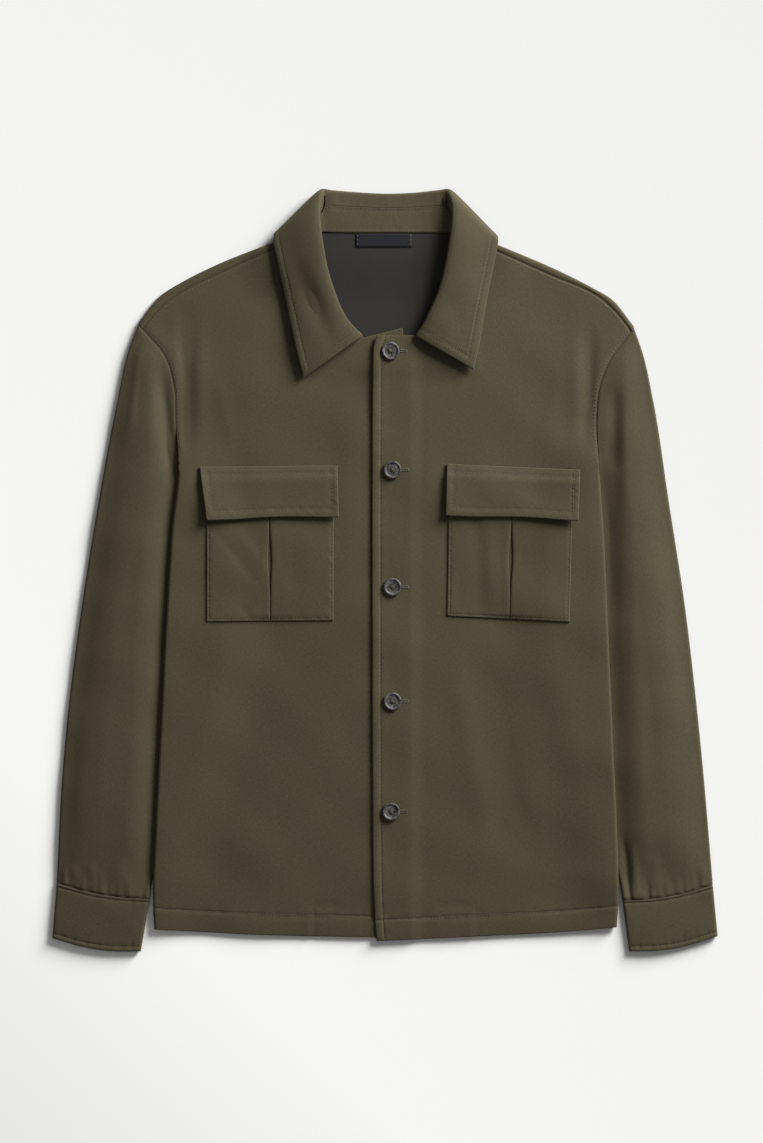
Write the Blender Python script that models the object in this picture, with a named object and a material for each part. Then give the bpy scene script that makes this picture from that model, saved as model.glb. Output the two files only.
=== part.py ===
"""Long-sleeved overshirt laid flat on its back, buttoned, with its collar towards +Y.

Sizes in the tables are millimetres; the meshes are built in metres. X runs across the
shirt (the wearer's left is at +X), Y from the hem to the collar and Z up from the
surface that it lies on. Each cloth piece is a wall with an outer and an inner face.
"""

from collections import namedtuple
import math

import bmesh
import bpy
import numpy as np

MM = 0.001

# ---- Cloth, seams and layers -------------------------------------------------------
CLOTH = 1.3            # wall of one layer of body cloth
LINING = 1.0           # wall of the neck lining and of the label
COLLAR_WALL = 2.0      # two layers of cloth and their stiffening
CUFF_WALL = 2.0        # doubled cuff
FLAP_WALL = 1.7        # doubled flap
SEAM_GAP = 0.3         # between pieces that meet edge to edge
LAYER_GAP = 0.4        # between layers that lie on each other
PATCH_GAP = 0.6        # under pockets and flaps
EDGE_ROUND = 3.0       # how far in a folded edge starts to turn over
HEM_DEPTH = 21.0
HEM_EXTRA = 0.5        # the turned hem stands this much higher

# ---- How the layers stand over the surface -------------------------------------------
CHEST_LOFT = 0.8       # air between back and fronts in the middle
EDGE_LOFT = 1.5        # more air along the folded side edges
EDGE_LOFT_REACH = 24.0
SLEEVE_LOFT = 3.1      # air inside a sleeve
SLEEVE_EDGE_LOFT = 1.5
SLEEVE_TUCK_LOFT = 0.6  # air in the part of a sleeve that lies under the body
TUCK_RAMP = 62.0       # the back comes down to the surface over this width
UNDERARM_Y = 107.0
UNDERLEAF_LIFT = COLLAR_WALL + 2 * LAYER_GAP
UNDERLEAF_Y = 322.0    # the collar leaf lies under the back above this line
UNDERLEAF_RAMP = 56.0
UNDERLEAF_HALF = 118.0
UNDERLEAF_SIDE_RAMP = 30.0
TUCK_LEAST = 4.0       # the back's ramp starts at least this far inside its edge
TUCK_TOP_RAMP = 48.0   # and fades out over this height above the underarm
TUCK_HEM = (-352.0, -300.0)   # heights between which the ramp loses most of its rise at the hem
TUCK_HEM_LOSS = 0.75
SEAM_LOFT_REACH = 40.0
SLEEVE_EDGE_REACH = 26.0      # the sleeve rises to its full loft over this width
SLEEVE_SEAM_REACH = 13.0      # and keeps the body's height this far from the seam
SLEEVE_SEAM_END = (300.0, 326.0)
SLEEVE_FOLD_START = (-0.5, 3.0)
FOLD_END = 0.3         # share of a fold's length over which it rises and dies out

# ---- Outlines: distances from the middle line, wearer's right and left ---------------
EdgeRow = namedtuple("EdgeRow", "y_right right y_left left")
BODY_EDGE = (          # folded side edge from the hem up, then the armhole seam
    EdgeRow(-358.0, 230.5, -356.0, 231.5),
    EdgeRow(-338.0, 231.5, -338.0, 232.6),
    EdgeRow(-256.0, 229.0, -257.0, 231.4),
    EdgeRow(-148.0, 223.5, -175.0, 227.6),
    EdgeRow(-40.0, 218.0, -67.0, 223.0),
    EdgeRow(41.5, 212.6, 41.5, 218.0),
    EdgeRow(107.0, 206.0, 107.0, 213.5),
    EdgeRow(150.0, 209.0, 154.0, 211.3),
    EdgeRow(188.0, 211.5, 191.0, 216.5),
    EdgeRow(218.0, 222.0, 214.0, 227.0),
    EdgeRow(237.0, 238.5, 231.0, 240.0),
    EdgeRow(244.5, 246.5, 241.0, 249.0),
)
UNDERARM_ROW = 6
TuckRow = namedtuple("TuckRow", "y tuck")
SLEEVE_TUCK = (        # how far a sleeve's inner edge lies inside the body's edge
    TuckRow(-380.0, -13.0), TuckRow(-330.0, -5.0), TuckRow(-300.0, 1.0), TuckRow(-256.0, 12.0),
    TuckRow(-148.0, 36.0), TuckRow(-67.0, 48.0), TuckRow(0.0, 46.0), TuckRow(45.0, 27.0),
    TuckRow(76.0, 8.0), TuckRow(93.0, 0.5), TuckRow(107.0, -0.3),
)
SleeveRow = namedtuple("SleeveRow", "y_right right y_left left")
SLEEVE_EDGE = (        # the sleeve's outer fold from the shoulder tip to the cuff
    SleeveRow(245.0, 247.5, 241.5, 250.0),
    SleeveRow(226.0, 255.0, 220.0, 257.4),
    SleeveRow(161.0, 269.5, 172.0, 268.0),
    SleeveRow(63.0, 287.4, 74.0, 283.0),
    SleeveRow(-40.0, 303.7, -45.0, 301.0),
    SleeveRow(-121.0, 314.5, -126.0, 310.5),
    SleeveRow(-208.0, 322.7, -219.0, 319.7),
    SleeveRow(-311.0, 328.0, -313.5, 327.5),
)
FanRow = namedtuple("FanRow", "outer inner bow")
SLEEVE_FAN = (         # shares of the outer and inner edge joined by a section, and its bow
    FanRow(0.0, 0.0, 1.0), FanRow(0.05, 0.012, 0.80), FanRow(0.12, 0.03, 0.56),
    FanRow(0.20, 0.07, 0.34), FanRow(0.29, 0.14, 0.16), FanRow(0.38, 0.23, 0.06),
    FanRow(0.47, 0.34, 0.0), FanRow(0.56, 0.45, 0.0), FanRow(0.65, 0.56, 0.0),
    FanRow(0.74, 0.67, 0.0), FanRow(0.82, 0.77, 0.0), FanRow(0.89, 0.86, 0.0),
    FanRow(0.94, 0.925, 0.0), FanRow(0.975, 0.968, 0.0), FanRow(1.0, 1.0, 0.0),
)
CuffCorners = namedtuple("CuffCorners", "top_out top_in low_out low_in")
CUFFS = {
    "right": CuffCorners((-328.1, -312.0), (-235.0, -327.5), (-332.5, -367.0), (-244.0, -380.4)),
    "left": CuffCorners((327.6, -314.0), (237.0, -328.8), (332.4, -365.0), (244.0, -380.4)),
}
CUFF_TOP_SAG = 3.5
CUFF_LOW_SAG = 4.5
CUFF_LOFT = 1.5

# ---- Top edges of the panels -----------------------------------------------------------
PlanPoint = namedtuple("PlanPoint", "x y")
TOP_EDGE = {           # from the front corner to the collar's front end
    "right": (PlanPoint(18.0, 243.0), PlanPoint(-21.0, 233.0)),
    "left": (PlanPoint(-8.0, 235.0), PlanPoint(31.0, 235.5)),
}
NECKLINE = {           # from the collar's front end to the shoulder
    "right": (PlanPoint(-21.0, 233.0), PlanPoint(-42.0, 254.0), PlanPoint(-57.0, 288.0),
              PlanPoint(-66.0, 322.0), PlanPoint(-74.0, 338.0)),
    "left": (PlanPoint(31.0, 235.5), PlanPoint(44.0, 252.0), PlanPoint(58.0, 286.0),
             PlanPoint(67.0, 321.0), PlanPoint(75.0, 336.0)),
}
SHOULDER_SEAM = {      # forward shoulder seam from the neck to the armhole
    "right": (PlanPoint(-74.0, 338.0), PlanPoint(-114.0, 320.5), PlanPoint(-165.0, 297.5),
              PlanPoint(-206.0, 277.0), PlanPoint(-228.0, 260.0), PlanPoint(-243.0, 242.0)),
    "left": (PlanPoint(75.0, 336.0), PlanPoint(114.0, 318.5), PlanPoint(165.0, 296.0),
             PlanPoint(216.0, 272.0), PlanPoint(232.0, 257.0), PlanPoint(246.0, 239.0)),
}
SHOULDER_FOLD = {      # outer fold of the shoulder, where the back turns over
    "right": (PlanPoint(-78.0, 342.5), PlanPoint(-106.0, 330.5), PlanPoint(-165.0, 307.5),
              PlanPoint(-206.0, 287.0), PlanPoint(-224.0, 275.5), PlanPoint(-246.5, 247.5)),
    "left": (PlanPoint(79.0, 340.5), PlanPoint(106.0, 328.5), PlanPoint(165.0, 304.0),
             PlanPoint(211.0, 281.0), PlanPoint(224.0, 273.5), PlanPoint(249.0, 244.0)),
}
BACK_NECK = (PlanPoint(-70.0, 341.5), PlanPoint(-30.0, 340.5), PlanPoint(0.0, 340.0),
             PlanPoint(30.0, 340.5), PlanPoint(70.0, 340.5))

# ---- Front overlap -----------------------------------------------------------------------
UNDERLAP_X = 18.0      # free edge of the wearer's right front, hidden under the left one
OVERLAP_FADE = (24.0, 38.0)
FrontRow = namedtuple("FrontRow", "y x")
OVERLAP_EDGE = (       # free edge of the wearer's left front, from the hem up
    FrontRow(-369.7, -8.5), FrontRow(-347.0, -10.0), FrontRow(-209.0, -12.4),
    FrontRow(-60.0, -12.8), FrontRow(100.0, -12.8), FrontRow(185.0, -12.4),
    FrontRow(207.0, -12.0), FrontRow(228.0, -10.5), FrontRow(235.0, -8.0),
)
HEM = {
    "right": (PlanPoint(18.0, -366.5), PlanPoint(-11.0, -366.0), PlanPoint(-125.0, -363.5),
              PlanPoint(-230.5, -358.0)),
    "left": (PlanPoint(-8.5, -369.7), PlanPoint(93.0, -365.0), PlanPoint(170.0, -361.0),
             PlanPoint(231.5, -356.0)),
}
BACK_HEM_RISE = 2.0    # the back's hem stays hidden this far above the fronts' hem
HEM_STEP = (-345.0, -343.0)   # heights between which the turned hem's edge shows
HEM_SAMPLES = 40

# ---- Main folds of the upper cloth ---------------------------------------------------------
Fold = namedtuple("Fold", "x0 y0 x1 y1 width height")
FOLDS = (
    Fold(-197.0, 272.0, -198.0, 96.0, 7.5, -2.2),      # beside the right armhole
    Fold(-186.0, 262.0, -184.0, 120.0, 9.0, 0.8),
    Fold(204.0, 250.0, 199.0, 110.0, 8.0, -2.0),       # beside the left armhole
    Fold(190.0, 262.0, 196.0, 120.0, 9.0, 0.9),
    Fold(-225.0, 214.0, -214.0, 92.0, 7.0, -2.6),      # inner side of the right sleeve
    Fold(-248.0, 228.0, -263.0, 110.0, 10.0, 1.0),
    Fold(230.0, 190.0, 226.0, 92.0, 8.0, -2.4),        # inner side of the left sleeve
    Fold(252.0, 226.0, 274.0, 70.0, 11.0, 0.9),
    Fold(86.0, -67.0, 135.0, -300.0, 22.0, -0.8),      # slanting hollow in the left front
    Fold(-60.0, 60.0, -110.0, -60.0, 26.0, 0.5),
    Fold(40.0, 190.0, 42.0, -20.0, 14.0, 0.7),         # beside the buttons
    Fold(-36.0, 200.0, -34.0, -40.0, 14.0, 0.7),
    Fold(-150.0, 250.0, -120.0, 130.0, 24.0, 0.6),
    Fold(150.0, 250.0, 122.0, 130.0, 24.0, 0.6),
    Fold(-311.0, -322.0, -311.0, -290.0, 5.0, 0.9),    # gathers above the right cuff
    Fold(-294.0, -324.0, -293.0, -288.0, 5.0, 0.9),
    Fold(-262.0, -326.0, -264.0, -285.0, 7.0, 0.7),
    Fold(244.0, -326.0, 240.0, -262.0, 4.5, -1.2),     # pleat and gathers above the left cuff
    Fold(270.0, -324.0, 268.0, -280.0, 7.0, 0.8),
    Fold(318.0, -320.0, 318.0, -292.0, 5.0, 0.9),
)

# ---- Collar: one row for each section, from the wearer's right front end to the left -------
CollarRow = namedtuple(
    "CollarRow", "neck_x neck_y roll_x roll_y roll_z cut_x cut_y lift turn under")
COLLAR = (
    # lift is the leaf's height over the front, turn the way over the roll in degrees,
    # and under is 1 where the leaf's edge lies beneath the back
    CollarRow(-24.0, 235.5, -22.0, 235.0, 11.5, -81.5, 192.5, 2.2, 0.0, 0.0),
    CollarRow(-47.0, 256.0, -40.0, 256.0, 15.0, -89.5, 225.0, 2.4, 0.0, 0.0),
    CollarRow(-61.0, 288.0, -54.0, 291.0, 18.5, -97.5, 262.0, 2.2, 0.0, 0.0),
    CollarRow(-70.0, 318.0, -62.0, 331.0, 21.0, -106.0, 302.0, 1.6, 0.0, 0.0),
    CollarRow(-72.0, 332.0, -65.0, 358.0, 20.0, -111.5, 327.0, 1.2, 8.0, 0.0),
    CollarRow(-70.5, 337.0, -64.5, 371.5, 17.5, -111.5, 332.5, 1.0, 25.0, 0.06),
    CollarRow(-67.0, 338.8, -62.5, 379.5, 12.0, -110.5, 337.0, 0.6, 62.0, 0.45),
    CollarRow(-58.0, 338.4, -51.0, 380.0, 8.2, -100.0, 334.5, 0.0, 90.0, 0.90),
    CollarRow(-30.0, 338.0, -30.0, 378.5, 6.2, -45.0, 329.0, 0.0, 90.0, 1.0),
    CollarRow(0.0, 338.0, 0.0, 377.0, 6.0, 0.0, 327.5, 0.0, 90.0, 1.0),
    CollarRow(30.0, 338.0, 30.0, 378.0, 6.2, 45.0, 329.0, 0.0, 90.0, 1.0),
    CollarRow(58.5, 338.0, 51.0, 380.0, 8.2, 102.0, 332.0, 0.0, 90.0, 0.90),
    CollarRow(68.0, 337.6, 63.0, 379.5, 12.0, 112.0, 334.5, 0.6, 62.0, 0.45),
    CollarRow(71.5, 335.5, 65.5, 371.5, 17.5, 113.0, 330.0, 1.0, 25.0, 0.06),
    CollarRow(73.0, 330.0, 66.5, 357.0, 20.0, 112.5, 324.5, 1.2, 8.0, 0.0),
    CollarRow(71.0, 316.0, 64.0, 331.0, 21.0, 108.0, 300.0, 1.6, 0.0, 0.0),
    CollarRow(62.0, 284.0, 55.0, 286.0, 18.5, 101.0, 265.0, 2.2, 0.0, 0.0),
    CollarRow(47.5, 252.0, 40.5, 251.0, 15.0, 95.0, 230.0, 2.4, 0.0, 0.0),
    CollarRow(34.0, 238.0, 30.0, 234.5, 12.0, 88.5, 200.5, 2.2, 0.0, 0.0),
)
STAND_SHARE = 0.68     # the stand ends at this share of the way up to the roll
STAND_PLACES = np.array([0.0, 0.33, 0.67, 1.0])
RISE_PLACES = np.array([0.0, 0.5, 1.0])
ARC_PLACES = np.array([0.33, 0.67, 1.0])
FALL_PLACES = np.array([0.1, 0.25, 0.45, 0.65, 0.83, 1.0])
COLLAR_SECTIONS = 37
LEAF_BULGE = 2.0       # how far the leaf bows up between the roll and its edge
ROLL_ROUND = 3.0       # radius of the roll
BARE_HALF = (60.0, 72.0)      # the neck shows the bare back inside this half width
BARE_LOW = (-334.0, -328.0)   # and above this height
PROFILE_STEP = 0.01
ROLL_REACH = 12.0      # how straight the leaf leaves the roll over the fronts
FOLD_REACH = 28.0      # and where it turns under the back

# ---- Neck lining and label -------------------------------------------------------------------
LINING_HALF_TOP = 57.0
LINING_HALF_LOW = 84.0
LINING_TOP_Y = 337.3
LINING_LOW_Y = 206.0
LINING_FADE = 16.0
LINING_TAPER = 0.6     # share of the lining's height where it starts to narrow
LINING_ROWS = 7
LINING_COLUMNS = 11
LABEL_COLUMNS = 6
LABEL_ROWS = 3
LABEL_BOX = (-29.0, 323.5, 27.0, 336.8)

# ---- Pockets, flaps and buttons -----------------------------------------------------------------
Patch = namedtuple("Patch", "low_in low_out top_in top_out")
POCKETS = {
    "right": Patch((-51.5, -49.5), (-178.0, -50.5), (-51.0, 90.0), (-178.0, 89.0)),
    "left": Patch((62.0, -45.0), (184.0, -51.0), (64.0, 91.0), (187.5, 86.0)),
}
FLAPS = {
    "right": Patch((-46.0, 54.5), (-177.5, 51.3), (-47.5, 105.5), (-185.0, 104.0)),
    "left": Patch((60.5, 56.0), (192.5, 50.4), (61.8, 107.0), (194.7, 101.0)),
}
PLEAT_X = {"right": (-114.4, -115.8), "left": (124.3, 127.2)}   # at the pocket's foot and top
PLEAT_HALF = 17.0      # cloth folded under on each side of the pleat's slit
PLEAT_EXTRA = 0.9
PLEAT_BEND = 0.8
POCKET_ROWS = np.array([0.0, 0.04, 0.16, 0.3, 0.45, 0.6, 0.75, 0.88, 1.0])
POCKET_INNER = (0.33, 0.66)   # columns between the pocket's inner side and the pleat
POCKET_OUTER = (0.34, 0.67, 1.0)
SLIT_DEPTH = 1.5
SlitRow = namedtuple("SlitRow", "share width")
SLIT = (SlitRow(0.0, 0.7), SlitRow(0.35, 1.4), SlitRow(0.62, 3.2), SlitRow(1.0, 1.4))
FLAP_CLEAR = CLOTH + PLEAT_EXTRA + 2 * SEAM_GAP
FLAP_CORNER_LIFT = 1.6
FLAP_SEWN_FROM = 0.87  # the flap is sewn down above this share of its depth
FLAP_ROWS = np.array([0.0, 0.2, 0.4, 0.62, 0.8, FLAP_SEWN_FROM, 1.0])
FLAP_COLUMNS = 11
FLAP_RISE = 0.3        # share of the flap's depth over which it climbs onto the pocket
BUTTON_RADIUS = 9.0
BUTTON_HEIGHT = 3.0
BUTTON_RIM = 2.0
BUTTON_DISH = 0.9
BUTTON_HOLE_RADIUS = 1.0
BUTTON_HOLE_REACH = 2.4
BUTTON_SIDES = 20
BUTTON_PROFILE = (     # radius and height, from the dish over the rim to the foot
    (BUTTON_RADIUS - BUTTON_RIM - 0.6, BUTTON_HEIGHT - BUTTON_DISH),
    (BUTTON_RADIUS - BUTTON_RIM, BUTTON_HEIGHT),
    (BUTTON_RADIUS - 0.7, BUTTON_HEIGHT),
    (BUTTON_RADIUS, BUTTON_HEIGHT - 0.9),
    (BUTTON_RADIUS - 0.4, 0.6),
    (BUTTON_RADIUS - 2.0, 0.0),
)
BUTTON_HOLE_SIDES = 8
BUTTON_HOLE_TURN = 45.0
BUTTONS = (PlanPoint(5.5, 219.5), PlanPoint(7.5, 101.0), PlanPoint(7.5, -16.0),
           PlanPoint(7.5, -130.0), PlanPoint(6.0, -240.0))

# ---- Colours -----------------------------------------------------------------------------------
OLIVE = (0.078, 0.066, 0.039)
LINING_GREY = (0.033, 0.032, 0.030)
LABEL_GREY = (0.040, 0.040, 0.050)
HORN = (0.030, 0.028, 0.026)

SIGN = {"right": -1.0, "left": 1.0}


# ==== Curves and shaping =============================================================

def spline(knots, values, at):
    """Smooth curve through values, which may be rows, at rising knots."""
    knots = np.asarray(knots, float)
    values = np.asarray(values, float)
    flat = values.ndim == 1
    rows = values[:, None] if flat else values
    at = np.clip(np.asarray(at, float), knots[0], knots[-1])
    step = np.diff(knots)
    slope = np.diff(rows, axis=0) / step[:, None]
    tangent = np.empty_like(rows)
    tangent[0] = slope[0]
    tangent[-1] = slope[-1]
    for i in range(1, len(knots) - 1):
        share = step[i - 1] / (step[i - 1] + step[i])
        tangent[i] = slope[i - 1] * (1 - share) + slope[i] * share
    cell = np.clip(np.searchsorted(knots, at, side="right") - 1, 0, len(step) - 1)
    width = step[cell][..., None]
    t = (at - knots[cell])[..., None] / width
    a = (1 + 2 * t) * (1 - t) ** 2
    b = t * (1 - t) ** 2
    c = t * t * (3 - 2 * t)
    d = t * t * (t - 1)
    out = a * rows[cell] + b * width * tangent[cell] + c * rows[cell + 1] + d * width * tangent[cell + 1]
    return out[..., 0] if flat else out


def along(points, shares):
    """Points at shares of the length of a smooth plan path."""
    points = np.asarray(points, float)
    reach = np.concatenate([[0.0], np.cumsum(np.linalg.norm(np.diff(points, axis=0), axis=1))])
    return spline(reach / reach[-1], points, shares)


def ease(t):
    """Smooth step from 0 to 1."""
    t = np.clip(t, 0.0, 1.0)
    return t * t * (3 - 2 * t)


def fade(distance, start, end):
    """One up to start, nothing past end."""
    return 1.0 - ease((np.asarray(distance, float) - start) / (end - start))


def positive(value, softness=0.25):
    """Value held softly above zero."""
    return 0.5 * (value + np.sqrt(value * value + softness * softness))


def edge_points(side):
    """The body's edge on one side, as plan points from the hem to the shoulder tip."""
    if side == "right":
        return np.array([(-row.right, row.y_right) for row in BODY_EDGE])
    return np.array([(row.left, row.y_left) for row in BODY_EDGE])


def sleeve_points(side):
    """The sleeve's outer fold from the shoulder tip to the cuff."""
    if side == "right":
        return np.array([(-row.right, row.y_right) for row in SLEEVE_EDGE])
    return np.array([(row.left, row.y_left) for row in SLEEVE_EDGE])


def half_width(x, y):
    """Distance from the middle line to the body's edge, on the side that x lies on."""
    right = edge_points("right")
    left = edge_points("left")
    wide_right = spline(right[:, 1], -right[:, 0], y)
    wide_left = spline(left[:, 1], left[:, 0], y)
    return np.where(np.asarray(x) < 0, wide_right, wide_left)


def sleeve_half_width(x, y):
    """Distance from the middle line to the sleeve's outer fold."""
    right = sleeve_points("right")[::-1]
    left = sleeve_points("left")[::-1]
    wide_right = spline(right[:, 1], -right[:, 0], y)
    wide_left = spline(left[:, 1], left[:, 0], y)
    return np.where(np.asarray(x) < 0, wide_right, wide_left)


def sleeve_tuck(y):
    """How far a sleeve lies under the body at this height."""
    return spline([row.y for row in SLEEVE_TUCK], [row.tuck for row in SLEEVE_TUCK], y)


# ==== Heights of the layers ==========================================================

def folds(x, y):
    """Sum of the tabled ridges and troughs."""
    total = np.zeros(np.broadcast(x, y).shape)
    for fold in FOLDS:
        dx = fold.x1 - fold.x0
        dy = fold.y1 - fold.y0
        length = math.hypot(dx, dy)
        t = ((x - fold.x0) * dx + (y - fold.y0) * dy) / length ** 2
        off = ((x - fold.x0) * dy - (y - fold.y0) * dx) / length
        ends = ease(t / FOLD_END) * ease((1 - t) / FOLD_END)
        total = total + fold.height * np.exp(-(off / fold.width) ** 2) * ends
    return total


def back_low(x, y):
    """Underside of the back: on the surface, on the sleeves and on the collar leaf."""
    stack = 2 * CLOTH + SLEEVE_TUCK_LOFT + 2 * LAYER_GAP
    inside = half_width(x, y) - np.maximum(sleeve_tuck(y), TUCK_LEAST) - np.abs(x)
    on_sleeve = fade(inside, TUCK_LEAST, TUCK_RAMP) * fade(y, UNDERARM_Y, UNDERARM_Y + TUCK_TOP_RAMP)
    on_sleeve = on_sleeve * (1 - TUCK_HEM_LOSS * fade(y, *TUCK_HEM))
    on_leaf = fade(UNDERLEAF_Y - y, 0.0, UNDERLEAF_RAMP)
    on_leaf = on_leaf * fade(np.abs(x), UNDERLEAF_HALF, UNDERLEAF_HALF + UNDERLEAF_SIDE_RAMP)
    return stack * on_sleeve + UNDERLEAF_LIFT * on_leaf


def lining_cover(x, y):
    """One over the neck lining, fading out past its edges."""
    across = fade(np.abs(x), LINING_HALF_LOW, LINING_HALF_LOW + LINING_FADE)
    return across * fade(LINING_LOW_Y - y, 0.0, LINING_FADE)


def seam_loft(y):
    """Air under the armhole seam, closing down towards the underarm."""
    open_loft = CHEST_LOFT + EDGE_LOFT
    return SLEEVE_TUCK_LOFT + (open_loft - SLEEVE_TUCK_LOFT) * ease((y - UNDERARM_Y) / SEAM_LOFT_REACH)


def front_top(side, x, y):
    """Upper face of a front, and of the whole shirt where no sleeve or collar lies on it."""
    from_edge = half_width(x, y) - np.abs(x)
    loft = CHEST_LOFT + EDGE_LOFT * np.exp(-(from_edge / EDGE_LOFT_REACH) ** 2)
    base = back_low(x, y) + CLOTH + LAYER_GAP + (LINING + LAYER_GAP) * lining_cover(x, y)
    if side == "left":
        base = base + (CLOTH + LAYER_GAP) * fade(x, *OVERLAP_FADE)
    band = HEM_EXTRA * fade(y, *HEM_STEP)
    return base + positive(loft + folds(x, y)) + CLOTH + band


def sleeve_top(x, y):
    """Upper face of a sleeve."""
    from_fold = sleeve_half_width(x, y) - np.abs(x)
    from_body = np.maximum(np.abs(x) - half_width(x, y), 0.0)
    inner = SLEEVE_EDGE_LOFT + (SLEEVE_LOFT - SLEEVE_EDGE_LOFT) * ease(from_fold / SLEEVE_EDGE_REACH)
    near = np.exp(-(from_body / SLEEVE_SEAM_REACH) ** 2)
    near = near * fade(-y, *SLEEVE_SEAM_END)
    loft = near * seam_loft(y) + (1 - near) * inner
    return 2 * CLOTH + LAYER_GAP + positive(loft + folds(x, y) * fade(-from_body, *SLEEVE_FOLD_START))


# ==== Meshes =============================================================================

def material(name, colour, roughness):
    made = bpy.data.materials.new(name)
    made.use_nodes = True
    shader = made.node_tree.nodes["Principled BSDF"]
    shader.inputs["Base Color"].default_value = (*colour, 1.0)
    shader.inputs["Roughness"].default_value = roughness
    shader.inputs["Metallic"].default_value = 0.0
    return made


class Wall:
    """A cloth wall: matching outer and inner points, cells between them, and a rim round it."""

    def __init__(self):
        self.outer = []
        self.inner = []
        self.cells = []
        self.index = {}

    def point(self, outer, inner):
        key = tuple(round(float(value), 4) for value in (*outer, *inner))
        if key not in self.index:
            self.index[key] = len(self.outer)
            self.outer.append(outer)
            self.inner.append(inner)
        return self.index[key]

    def grid(self, outer, inner, ring=False):
        rows, columns = outer.shape[:2]
        ids = [[self.point(outer[j, i], inner[j, i]) for i in range(columns)] for j in range(rows)]
        for j in range(rows - 1):
            for i in range(columns if ring else columns - 1):
                k = (i + 1) % columns
                cell = tuple(dict.fromkeys((ids[j][i], ids[j][k], ids[j + 1][k], ids[j + 1][i])))
                if len(cell) > 2:
                    self.cells.append(cell)

    def build(self, name, colour, roughness=0.9):
        mesh = bmesh.new()
        outer = [mesh.verts.new([v * MM for v in p]) for p in self.outer]
        inner = [mesh.verts.new([v * MM for v in p]) for p in self.inner]
        uses = {}
        for cell in self.cells:
            mesh.faces.new([outer[i] for i in cell])
            mesh.faces.new([inner[i] for i in reversed(cell)])
            for a, b in zip(cell, cell[1:] + cell[:1]):
                pair = (min(a, b), max(a, b))
                uses[pair] = uses.get(pair, 0) + 1
        for (a, b), count in uses.items():
            if count == 1:
                mesh.faces.new([outer[b], outer[a], inner[a], inner[b]])
        return finish(mesh, name, colour, roughness)


def finish(mesh, name, colour, roughness):
    """Turn a bmesh into a named, smooth-shaded object with its own material."""
    bmesh.ops.recalc_face_normals(mesh, faces=mesh.faces)
    bmesh.ops.triangulate(mesh, faces=mesh.faces)
    data = bpy.data.meshes.new(name)
    mesh.to_mesh(data)
    mesh.free()
    data.shade_smooth()
    data.set_sharp_from_angle(angle=math.radians(35.0))
    data.materials.append(material(name + "_finish", colour, roughness))
    placed = bpy.data.objects.new(name, data)
    bpy.context.scene.collection.objects.link(placed)
    return placed


def stack(plan, z):
    """Plan points (..., 2) and heights joined into points (..., 3)."""
    return np.concatenate([plan, np.asarray(z)[..., None]], axis=-1)


ROUND_ANGLES = np.radians([0.0, 32.0, 62.0, 90.0])


# ==== Fronts and back =====================================================================

def unit(vectors):
    return vectors / np.linalg.norm(vectors, axis=-1, keepdims=True)


def inward(path, towards):
    """Plan directions square to a path, pointing to one side of it: towards is 1 or -1."""
    step = unit(np.gradient(path, axis=0))
    return towards * np.stack([step[:, 1], -step[:, 0]], axis=-1)


def folded_edge(edge, normal, turn, face, middle, up):
    """Outer and inner points of the columns that roll a panel over at its folded edge.

    turn is 1 where the edge is folded and 0 where it is an open seam; up is 1 for an
    upper panel and -1 for a lower one, and middle is the height where the two meet.
    """
    reach = EDGE_ROUND * turn
    bend = edge + normal * reach[:, None]
    rise = np.abs(face(bend[:, 0], bend[:, 1]) - middle)
    outer = []
    inner = []
    for angle in ROUND_ANGLES:
        out = edge + normal * (reach * (1 - math.sin(angle)))[:, None]
        into = edge + normal * (reach - turn * (EDGE_ROUND - CLOTH) * math.sin(angle))[:, None]
        flat = face(out[:, 0], out[:, 1])
        rolled = middle + up * rise * math.cos(angle)
        rolled_in = middle + up * (rise - CLOTH) * math.cos(angle)
        outer.append(stack(out, flat + (rolled - flat) * turn))
        inner.append(stack(into, flat - up * CLOTH + (rolled_in - flat + up * CLOTH) * turn))
    return np.stack(outer, axis=1), np.stack(inner, axis=1)


def side_edge(side, shares, end):
    """The body's edge at shares of its height, closed off at its shoulder end."""
    points = np.vstack([edge_points(side)[:-1], end])
    height = (points[:, 1] - points[0, 1]) / (points[-1, 1] - points[0, 1])
    return spline(height, points, shares)


def seam_middle(bend):
    """Height of the side seam, half way between the two layers."""
    side = "right" if bend[0, 0] < 0 else "left"
    low = back_low(bend[:, 0], bend[:, 1])
    return 0.5 * (low + front_top(side, bend[:, 0], bend[:, 1]))


BODY_ROWS = np.array([0.0, 0.031, 0.038, 0.10, 0.17, 0.25, 0.33, 0.41, 0.49, 0.57, 0.64, 0.70,
                      0.745, 0.78, 0.815, 0.85, 0.885, 0.92, 0.945, 0.97, 1.0])
SEAM_SHARES = np.array([0.0, 0.13, 0.26, 0.39, 0.51, 0.62, 0.72, 0.81, 0.88, 0.94, 1.0])
ARMHOLE_ROWS = 8       # the last rows of a front, which run along the armhole
NECK_START = 0.15      # share of a front's width where the neckline begins
SHOULDER_START = 0.35  # and where the shoulder seam begins
TOP_SHARES = np.concatenate([[0.0, 0.075, NECK_START, 0.20, 0.25, 0.30],
                             SHOULDER_START + (1 - SHOULDER_START) * SEAM_SHARES])
BACK_SHOULDER = 0.31   # share of the back's width under each shoulder fold
BACK_NECK_START = 0.34
BACK_NECK_WIDTH = 0.32
BACK_NECK_COLUMNS = 7
TURN_AT = 14.0         # the folded side edge ends this far below the underarm
BACK_HEM_BLEND = 0.1
STRIP_ANGLES = np.radians([-90.0, -50.0, 0.0, 50.0, 90.0])
STRIP_SHARES = (0.5, 1.0)


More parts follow.
